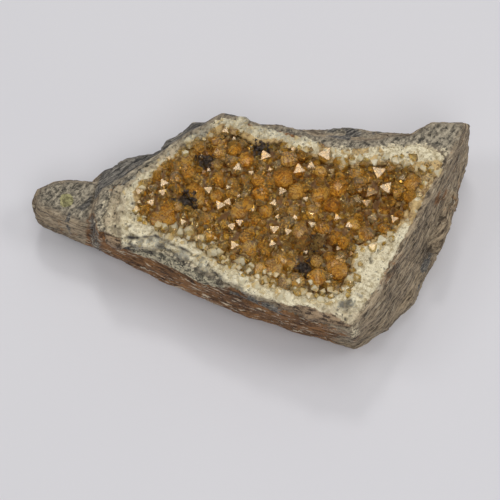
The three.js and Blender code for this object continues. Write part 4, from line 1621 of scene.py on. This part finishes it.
    def small_crystals(self, large: Sequence[Crystal], vein: "Ground") -> list[Crystal]:
        """Fills the gaps between the large crystals with small ones.

        Args:
            large: the crystals that are there already.
            vein: the vein's solid, which some of them sit on.

        Returns:
            The small crystals alone.
        """
        grown = list(large)
        low, high = self.small_radius
        deep, top = self.small_lift
        for i, (x, y) in self.spread(self.small_tries, 0.27):
            radius = low + (high - low) * chance(i, 16) ** 1.5
            margin = self.small_margin - 1.0 * (x > 7.0) * (chance(i, 27) > 0.75)
            margin -= 1.0 * (x < -3.0) * (y > 3.0) * (chance(i, 27) > 0.35)
            margin -= 1.0 * (x > 20.5) * (y > -2.0) * (chance(i, 27) > 0.4)
            if not self.has_room(grown, x, y, radius, self.small_crowding, margin, self.level_crowding):
                continue
            level = chance(i, 26) < self.level_share
            turn = self.level_turn(i + 500, 360 * chance(i, 28), x, y) if level else any_turn(i + 5000)
            depth = depth_inside(np.array([[x, y]]))[0]
            rounded = chance(i, 18) > 0.5 and depth > self.sharp_reach and not level
            habit = Habit.ROUND if rounded else Habit.SHARP
            rough = self.level_rough if level else 0.03 + 0.12 * chance(i, 19) ** 2
            lift = top if level else deep + (top - deep) * chance(i, 20)
            if depth < 0:
                seat = self.seat(vein, x, y)
                if seat is None:
                    continue
                lift = seat + self.perch - growth_height(x, y, radius)
            grown.append(Crystal(x, y, radius, turn, habit, i % self.variants, rough, chance(i, 25),
                                 lift, level))
        return grown[len(large):]

    @staticmethod
    def spread(tries: int, start: float = 0.5) -> list[tuple[int, tuple[float, float]]]:
        """Spreads places evenly over the hollow's box.

        Args:
            tries: how many places.
            start: where the spread begins, as a share of its side.

        Returns:
            The number and the place of each.
        """
        shares = np.modf(start + np.arange(tries)[:, None] * SPREAD)[0]
        return list(enumerate(map(tuple, FILL_CORNER + shares * FILL_SPAN)))

    @staticmethod
    def has_room(grown: Sequence[Crystal], x: float, y: float, radius: float, crowding: float,
                 margin: float, level_crowding: float = 0.0) -> bool:
        """Tells whether a crystal fits at a place.

        Args:
            grown: the crystals that are there already.
            x: the place across.
            y: the place in depth.
            radius: the new crystal's size.
            crowding: least distance between centres, as a share of the two radii.
            margin: least distance to the hollow's edge.
            level_crowding: the same share for crystals that turn a flat face up, where it is more.

        Returns:
            True if it fits.
        """
        if depth_inside(np.array([[x, y]]))[0] <= margin:
            return False
        return all(math.hypot(x - c.x, y - c.y)
                   > max(crowding, level_crowding * c.level) * (radius + c.radius) for c in grown)

    @staticmethod
    def batches(crystals: Sequence[Crystal]) -> list[list[Crystal]]:
        """Sorts crystals into batches within which none touch.

        Args:
            crystals: all the crystals.

        Returns:
            The batches.
        """
        batches: list[list[Crystal]] = []
        for crystal in crystals:
            for batch in batches:
                if all(np.linalg.norm(crystal.centre - other.centre) > crystal.radius + other.radius + 0.05
                       for other in batch):
                    batch.append(crystal)
                    break
            else:
                batches.append([crystal])
        return batches

    @staticmethod
    def placed(crystal: Crystal, templates: Mapping[tuple[Habit, int], Template]) -> Template:
        """Gives a crystal's form at its place."""
        points, faces = templates[crystal.habit, crystal.variant]
        turned = points @ np.array(crystal.turn).T
        return turned * crystal.radius + crystal.centre, faces

    def slab(self) -> bpy.types.Mesh:
        """Makes the low slab that joins the crystals at their roots."""
        offsets = HOLLOW - HUB
        away = np.linalg.norm(offsets, axis=1)[:, None]
        outline = HUB + offsets * (away - self.slab_margin) / away
        count = len(outline)
        points = np.array([[x, y, z] for z in (self.slab_low - 1, self.slab_top) for x, y in outline])
        walls = [(i, (i + 1) % count, (i + 1) % count + count, i + count) for i in range(count)]
        caps = [tuple(reversed(range(count))), tuple(range(count, 2 * count))]
        return mesh_of([(points, walls + caps)], "slab")

    def ground(self) -> bpy.types.Object:
        """Makes the block that cuts the crust off below, inside the vein."""
        low, high = np.array([-60.0, -60.0, 0.0]), np.array([60.0, 60.0, self.slab_low])
        corners = np.array(list(itertools.product(*zip(low, high))))
        return new_piece("ground", mesh_of([hull_of(corners)], "ground"))

    @staticmethod
    def cut(piece: bpy.types.Object, other: bpy.types.Object, operation: str) -> None:
        """Joins another solid to a piece or takes it away, and deletes the other.

        Args:
            piece: the solid that is kept.
            other: the solid that is used up.
            operation: UNION or DIFFERENCE.
        """
        cutter = piece.modifiers.new("cut", "BOOLEAN")
        cutter.operation = operation
        cutter.solver = "MANIFOLD"
        cutter.object = other
        apply_modifiers(piece)
        used = other.data
        bpy.data.objects.remove(other)
        bpy.data.meshes.remove(used)

    def mark_growth(self, mesh: bpy.types.Mesh, crystals: Sequence[Crystal]) -> None:
        """Stores each face's tint, with a painted reflection of its own, roughness, hue and murk, and how low
        each corner lies on its crystal, for painted shade.

        Args:
            mesh: the crust.
            crystals: all its crystals.
        """
        count = len(mesh.polygons)
        middles, ways = np.empty(count * 3), np.empty(count * 3)
        mesh.polygons.foreach_get("center", middles)
        mesh.polygons.foreach_get("normal", ways)
        middles, ways = middles.reshape(-1, 3), ways.reshape(-1, 3)
        centres = np.array([c.centre for c in crystals])
        radii = np.array([c.radius for c in crystals])
        owner = np.empty(count, int)
        for start in range(0, count, CHUNK):
            part = middles[start:start + CHUNK]
            far = np.linalg.norm(part[:, None] - centres[None], axis=2) / radii
            owner[start:start + CHUNK] = far.argmin(axis=1)
        turns = np.array([np.array(c.turn) for c in crystals])
        own_ways = np.einsum("nij,ni->nj", turns[owner], ways)
        facet = owner * 27 + (1 + np.sign(own_ways) * (np.abs(own_ways) > 0.38)) @ np.array([1, 3, 9])
        tint = self.tints(centres, radii, np.array([c.shade for c in crystals]))[owner]
        # painted reflection: a tint of its own on each face
        tint = np.clip(tint + self.painted_facet_reflection * (chances(facet, 33) - 0.5), 0.5 * tint, 1)
        rough = np.array([c.rough for c in crystals])[owner]
        hue = chances(np.arange(len(crystals)), 34)[owner]
        sides = np.empty(count, np.int32)
        mesh.polygons.foreach_get("loop_total", sides)
        faces = np.repeat(np.arange(count), sides)
        x, y, reach = self.murky
        murk = np.exp(-((centres[:, 0] - x) ** 2 + (centres[:, 1] - y) ** 2) / reach ** 2)
        for x, y, reach in DARK_DIPS:
            around = np.exp(-((centres[:, 0] - x) ** 2 + (centres[:, 1] - y) ** 2) / (0.9 * reach) ** 2)
            murk = np.maximum(murk, 0.55 * around)
        murk = smooth(murk + 0.5 * (chances(np.arange(len(crystals)), 35) - 0.5), 0.25, 0.75)[owner]
        colours = np.stack([tint[faces], rough[faces], hue[faces], murk[faces]], 1)
        layer = mesh.attributes.new(Zone.GROWTH.value, "FLOAT_COLOR", "CORNER")
        layer.data.foreach_set("color", colours.astype(np.float32).ravel())
        corners = np.empty(len(faces), np.int32)
        mesh.loops.foreach_get("vertex_index", corners)
        heights = np.empty(len(mesh.vertices) * 3)
        mesh.vertices.foreach_get("co", heights)
        holder = owner[faces]
        # how far below its crystal's top each corner lies, which the finish paints darker as shade
        depth = (centres[holder, 2] + self.fullness * radii[holder] - heights[2::3][corners]) / radii[holder]
        layer = mesh.attributes.new(Zone.DEPTH.value, "FLOAT", "CORNER")
        layer.data.foreach_set("value", np.clip(depth, 0, 2).astype(np.float32))

    def tints(self, centres: np.ndarray, radii: np.ndarray, shades: np.ndarray) -> np.ndarray:
        """Chooses how dark each crystal is.

        Args:
            centres: the crystals' centres.
            radii: their sizes.
            shades: and their own shares of dark.

        Returns:
            Numbers from 0, pale, to 1, smoky.
        """
        wander = Noise(31).lumps(centres, 6.0, 2)
        x, y = centres[:, 0], centres[:, 1]
        brown = np.exp(-((x - 21.5) ** 2 / 20 + (y - 2.5) ** 2 / 14))
        murk = np.exp(-((x - 11.5) ** 2 + (y + 5.5) ** 2) / 7)
        rim = smooth(depth_inside(centres[:, :2]), 1.0, -0.3)
        # painted shade: crystals that sit low among their neighbours are darker
        low = smooth(centres[:, 2] + 0.5 * radii, CRUST_HEIGHT + 0.4, CRUST_HEIGHT - 0.3)
        front = smooth(depth_inside(centres[:, :2]), 2.6, 0.6) * smooth(y, 0.0, -2.5) * smooth(x, 13.0, 8.0)
        rim = np.maximum(rim, front * (0.7 + 0.9 * shades))
        tint = 0.14 + 0.24 * wander + 0.6 * (shades - 0.5) - 0.08 * smooth(x, -3.0, -9.0)
        tint += 0.3 * low + 0.36 * brown + 0.45 * murk - 0.3 * rim
        for dx, dy, size in DARK_DIPS[:-1]:
            tint += 0.7 * np.exp(-((x - dx) ** 2 + (y - dy) ** 2) / (0.7 * size) ** 2)
        for bx, by, size in self.bright:
            tint -= 0.45 * np.exp(-((x - bx) ** 2 + (y - by) ** 2) / (0.8 * size) ** 2)
        return np.clip(tint, 0.1 * (1 - rim), 1)


class Ground:
    """A finished piece as something that grains can be laid on, in millimetres."""

    def __init__(self, *pieces: bpy.types.Object) -> None:
        """Remembers the surfaces of some pieces."""
        self.trees = []
        for piece in pieces:
            points = [v.co * MM for v in piece.data.vertices]
            faces = [p.vertices[:] for p in piece.data.polygons]
            self.trees.append(BVHTree.FromPolygons(points, faces))

    def height(self, x: float, y: float) -> float | None:
        """Gives the height of the highest surface at a place, if there is one."""
        hits = [tree.ray_cast(Vector((x, y, 60.0)), Vector((0, 0, -1)))[0] for tree in self.trees]
        return max((hit.z for hit in hits if hit is not None), default=None)


@dataclass
class RimGrains:
    """Pale crystals, half clear, strewn along the edge of the hollow."""

    tries: int = 3200
    radius: tuple[float, float] = (0.5, 1.2)
    band: tuple[float, float] = (-1.5, 1.7)  # how far outside the hollow's edge they lie
    inner: float = -0.6  # and how far where they are few
    crowding: float = 0.54
    sunk: float = 0.4  # share of its radius that a grain's centre lies below the surface
    variants: int = 10

    def build(self, finish: RimGrainFinish, ground: Ground) -> bpy.types.Object:
        """Lays the grains.

        Args:
            finish: what they are made of.
            ground: the surface that they lie on.

        Returns:
            The piece.
        """
        templates = [unit_crystal(Habit.SHARP, 80 + v, 0.22) for v in range(self.variants)]
        parts: list[Template] = []
        for i, (x, y, radius) in enumerate(self.places()):
            height = ground.height(x, y)
            if height is None:
                continue
            points, faces = templates[i % self.variants]
            centre = np.array([x, y, height - self.sunk * radius])
            parts.append((points @ np.array(any_turn(i + 9000)).T * radius + centre, faces))
        piece = new_piece("rim_grains", mesh_of(parts, "rim_grains"))
        dress(piece, finish.material(), "vein_crust")
        return piece

    def places(self) -> list[tuple[float, float, float]]:
        """Chooses where grains lie: thickly along the front edge, thinly elsewhere."""
        kept: list[tuple[float, float, float]] = []
        closed = np.vstack([HOLLOW, HOLLOW[:1]])
        steps = np.linalg.norm(np.diff(closed, axis=0), axis=1)
        along = np.concatenate([[0.0], np.cumsum(steps)])
        low, high = self.radius
        near, far = self.band
        for i in range(self.tries):
            at = along[-1] * math.modf(0.37 + i * SPREAD[0])[0]
            edge = np.array([np.interp(at, along, closed[:, axis]) for axis in range(2)])
            way = (edge - HUB) / np.linalg.norm(edge - HUB)
            out = near + (far - near) * math.modf(0.11 + i * SPREAD[1])[0]
            x, y = edge + way * out
            front = -14.0 < x < 12.0 and y < -2.0
            blocky = x > 13.0 and y > 4.0
            radius = low + (high - low) * chance(i, 30) ** (0.9 if front or blocky else 4.0)
            wanted = (0.5 if out < self.inner else 1.0) if front else 0.06 * (out > self.inner)
            wanted = 0.4 if blocky and out > 0.2 else wanted
            if chance(i, 31) > wanted:
                continue
            if all(math.hypot(x - a, y - b) > self.crowding * (radius + r) for a, b, r in kept):
                kept.append((x, y, radius))
        return kept


@dataclass
class DarkGrains:
    """Small dark angular grains in the dips between the crystals."""

    crowds: tuple[int, ...] = (150, 140, 190, 220, 14)  # how many grains are tried in each dip
    spread: float = 0.95  # share of a dip's size that the grains cover
    radius: tuple[float, float] = (0.12, 0.36)
    sunk: float = 0.1
    variants: int = 6

    def build(self, finish: DarkGrainFinish, ground: Ground) -> bpy.types.Object:
        """Lays the grains.

        Args:
            finish: what they are made of.
            ground: the surface that they lie on.

        Returns:
            The piece.
        """
        templates = [unit_crystal(Habit.SHARP, 60 + v, 0.25) for v in range(self.variants)]
        parts: list[Template] = []
        low, high = self.radius
        for d, (dip_x, dip_y, size) in enumerate(DARK_DIPS):
            for i in range(self.crowds[d]):
                key = d * 1000 + i
                angle = 2 * math.pi * chance(key, 41)
                ragged = 1 + 0.3 * math.sin(3 * angle + 2 * d) + 0.2 * math.sin(5 * angle - d)
                away = self.spread * size * math.sqrt(chance(key, 40)) * ragged
                x, y = dip_x + away * math.cos(angle), dip_y + 0.8 * away * math.sin(angle)
                radius = low + (high - low) * chance(key, 42) ** 2
                height = ground.height(x, y)
                if height is None or height > CRUST_HEIGHT + 0.45:
                    continue
                points, faces = templates[i % self.variants]
                centre = np.array([x, y, height - self.sunk * radius])
                parts.append((points @ np.array(any_turn(key + 3000)).T * radius + centre, faces))
        piece = new_piece("dark_grains", mesh_of(parts, "dark_grains"))
        dress(piece, finish.material(), "vein_crust")
        return piece


@dataclass(frozen=True)
class Lamp:
    """A square lamp that looks at the origin: its direction, its side in metres and its watts."""

    name: str
    way: Colour
    size: float
    power: float
    distance: float = 0.5

    def hang(self) -> None:
        """Puts the lamp in the scene."""
        data = bpy.data.lights.new(self.name, "AREA")
        data.shape = "SQUARE"
        data.size = self.size
        data.energy = self.power
        lamp = bpy.data.objects.new(self.name, data)
        to_lamp = Vector(self.way).normalized()
        lamp.location = to_lamp * self.distance
        lamp.rotation_euler = to_lamp.to_track_quat("Z", "Y").to_euler()
        bpy.context.scene.collection.objects.link(lamp)


@dataclass
class Studio:
    """The pale floor, the camera and plain soft light."""

    camera_place: Colour = (0.0, -0.0899, 0.2225)
    camera_tilt: float = 22.0
    lens: float = 107.3
    sensor: float = 36.0
    floor_size: float = 2.0
    lamps: tuple[Lamp, ...] = (
        Lamp("key", (-0.054, 0.50, 0.864), 0.07, 0.28),
        Lamp("top_box", (0.06, 0.16, 0.985), 0.18, 0.34),
        Lamp("left_box", (-0.60, 0.05, 0.80), 0.16, 0.28),
        Lamp("right_box", (0.60, 0.02, 0.80), 0.16, 0.34),
        Lamp("front_box", (0.12, -0.50, 0.86), 0.24, 0.53),
    )
    sky: Colour = (0.975, 0.975, 1.0)
    sky_strength: float = 0.26

    def build(self) -> None:
        """Sets up the camera, the lights and the floor."""
        scene = bpy.context.scene
        scene.view_settings.view_transform = "Standard"
        data = bpy.data.cameras.new("camera")
        data.sensor_width = self.sensor
        data.lens = self.lens
        data.clip_start = 0.01
        camera = bpy.data.objects.new("camera", data)
        camera.location = self.camera_place
        camera.rotation_euler = (math.radians(self.camera_tilt), 0.0, 0.0)
        scene.collection.objects.link(camera)
        scene.camera = camera
        for lamp in self.lamps:
            lamp.hang()
        world = bpy.data.worlds.new("studio")
        world.use_nodes = True
        back = world.node_tree.nodes["Background"]
        back.inputs["Color"].default_value = (*self.sky, 1.0)
        back.inputs["Strength"].default_value = self.sky_strength
        scene.world = world
        half = self.floor_size / 2
        mesh = bpy.data.meshes.new("floor")
        corners = [(-half, -half, 0), (half, -half, 0), (half, half, 0), (-half, half, 0)]
        mesh.from_pydata(corners, [], [(0, 1, 2, 3)])
        mesh.materials.append(FloorFinish().material())
        new_piece("floor", mesh)


def main() -> None:
    """Builds the studio and every piece in order."""
    logging.basicConfig(level=logging.INFO, format="%(relativeCreated)6d ms %(message)s")
    Studio().build()
    WallRock().build(RockFinish())
    druse = FluoriteDruse()
    crystals = druse.crystals()
    vein = VeinCrust().build(VeinFinish(), crystals)
    ground = Ground(vein, druse.build(AmberFinish(), crystals))
    RimGrains().build(RimGrainFinish(), ground)
    DarkGrains().build(DarkGrainFinish(), ground)


if __name__ == "__main__":
    main()
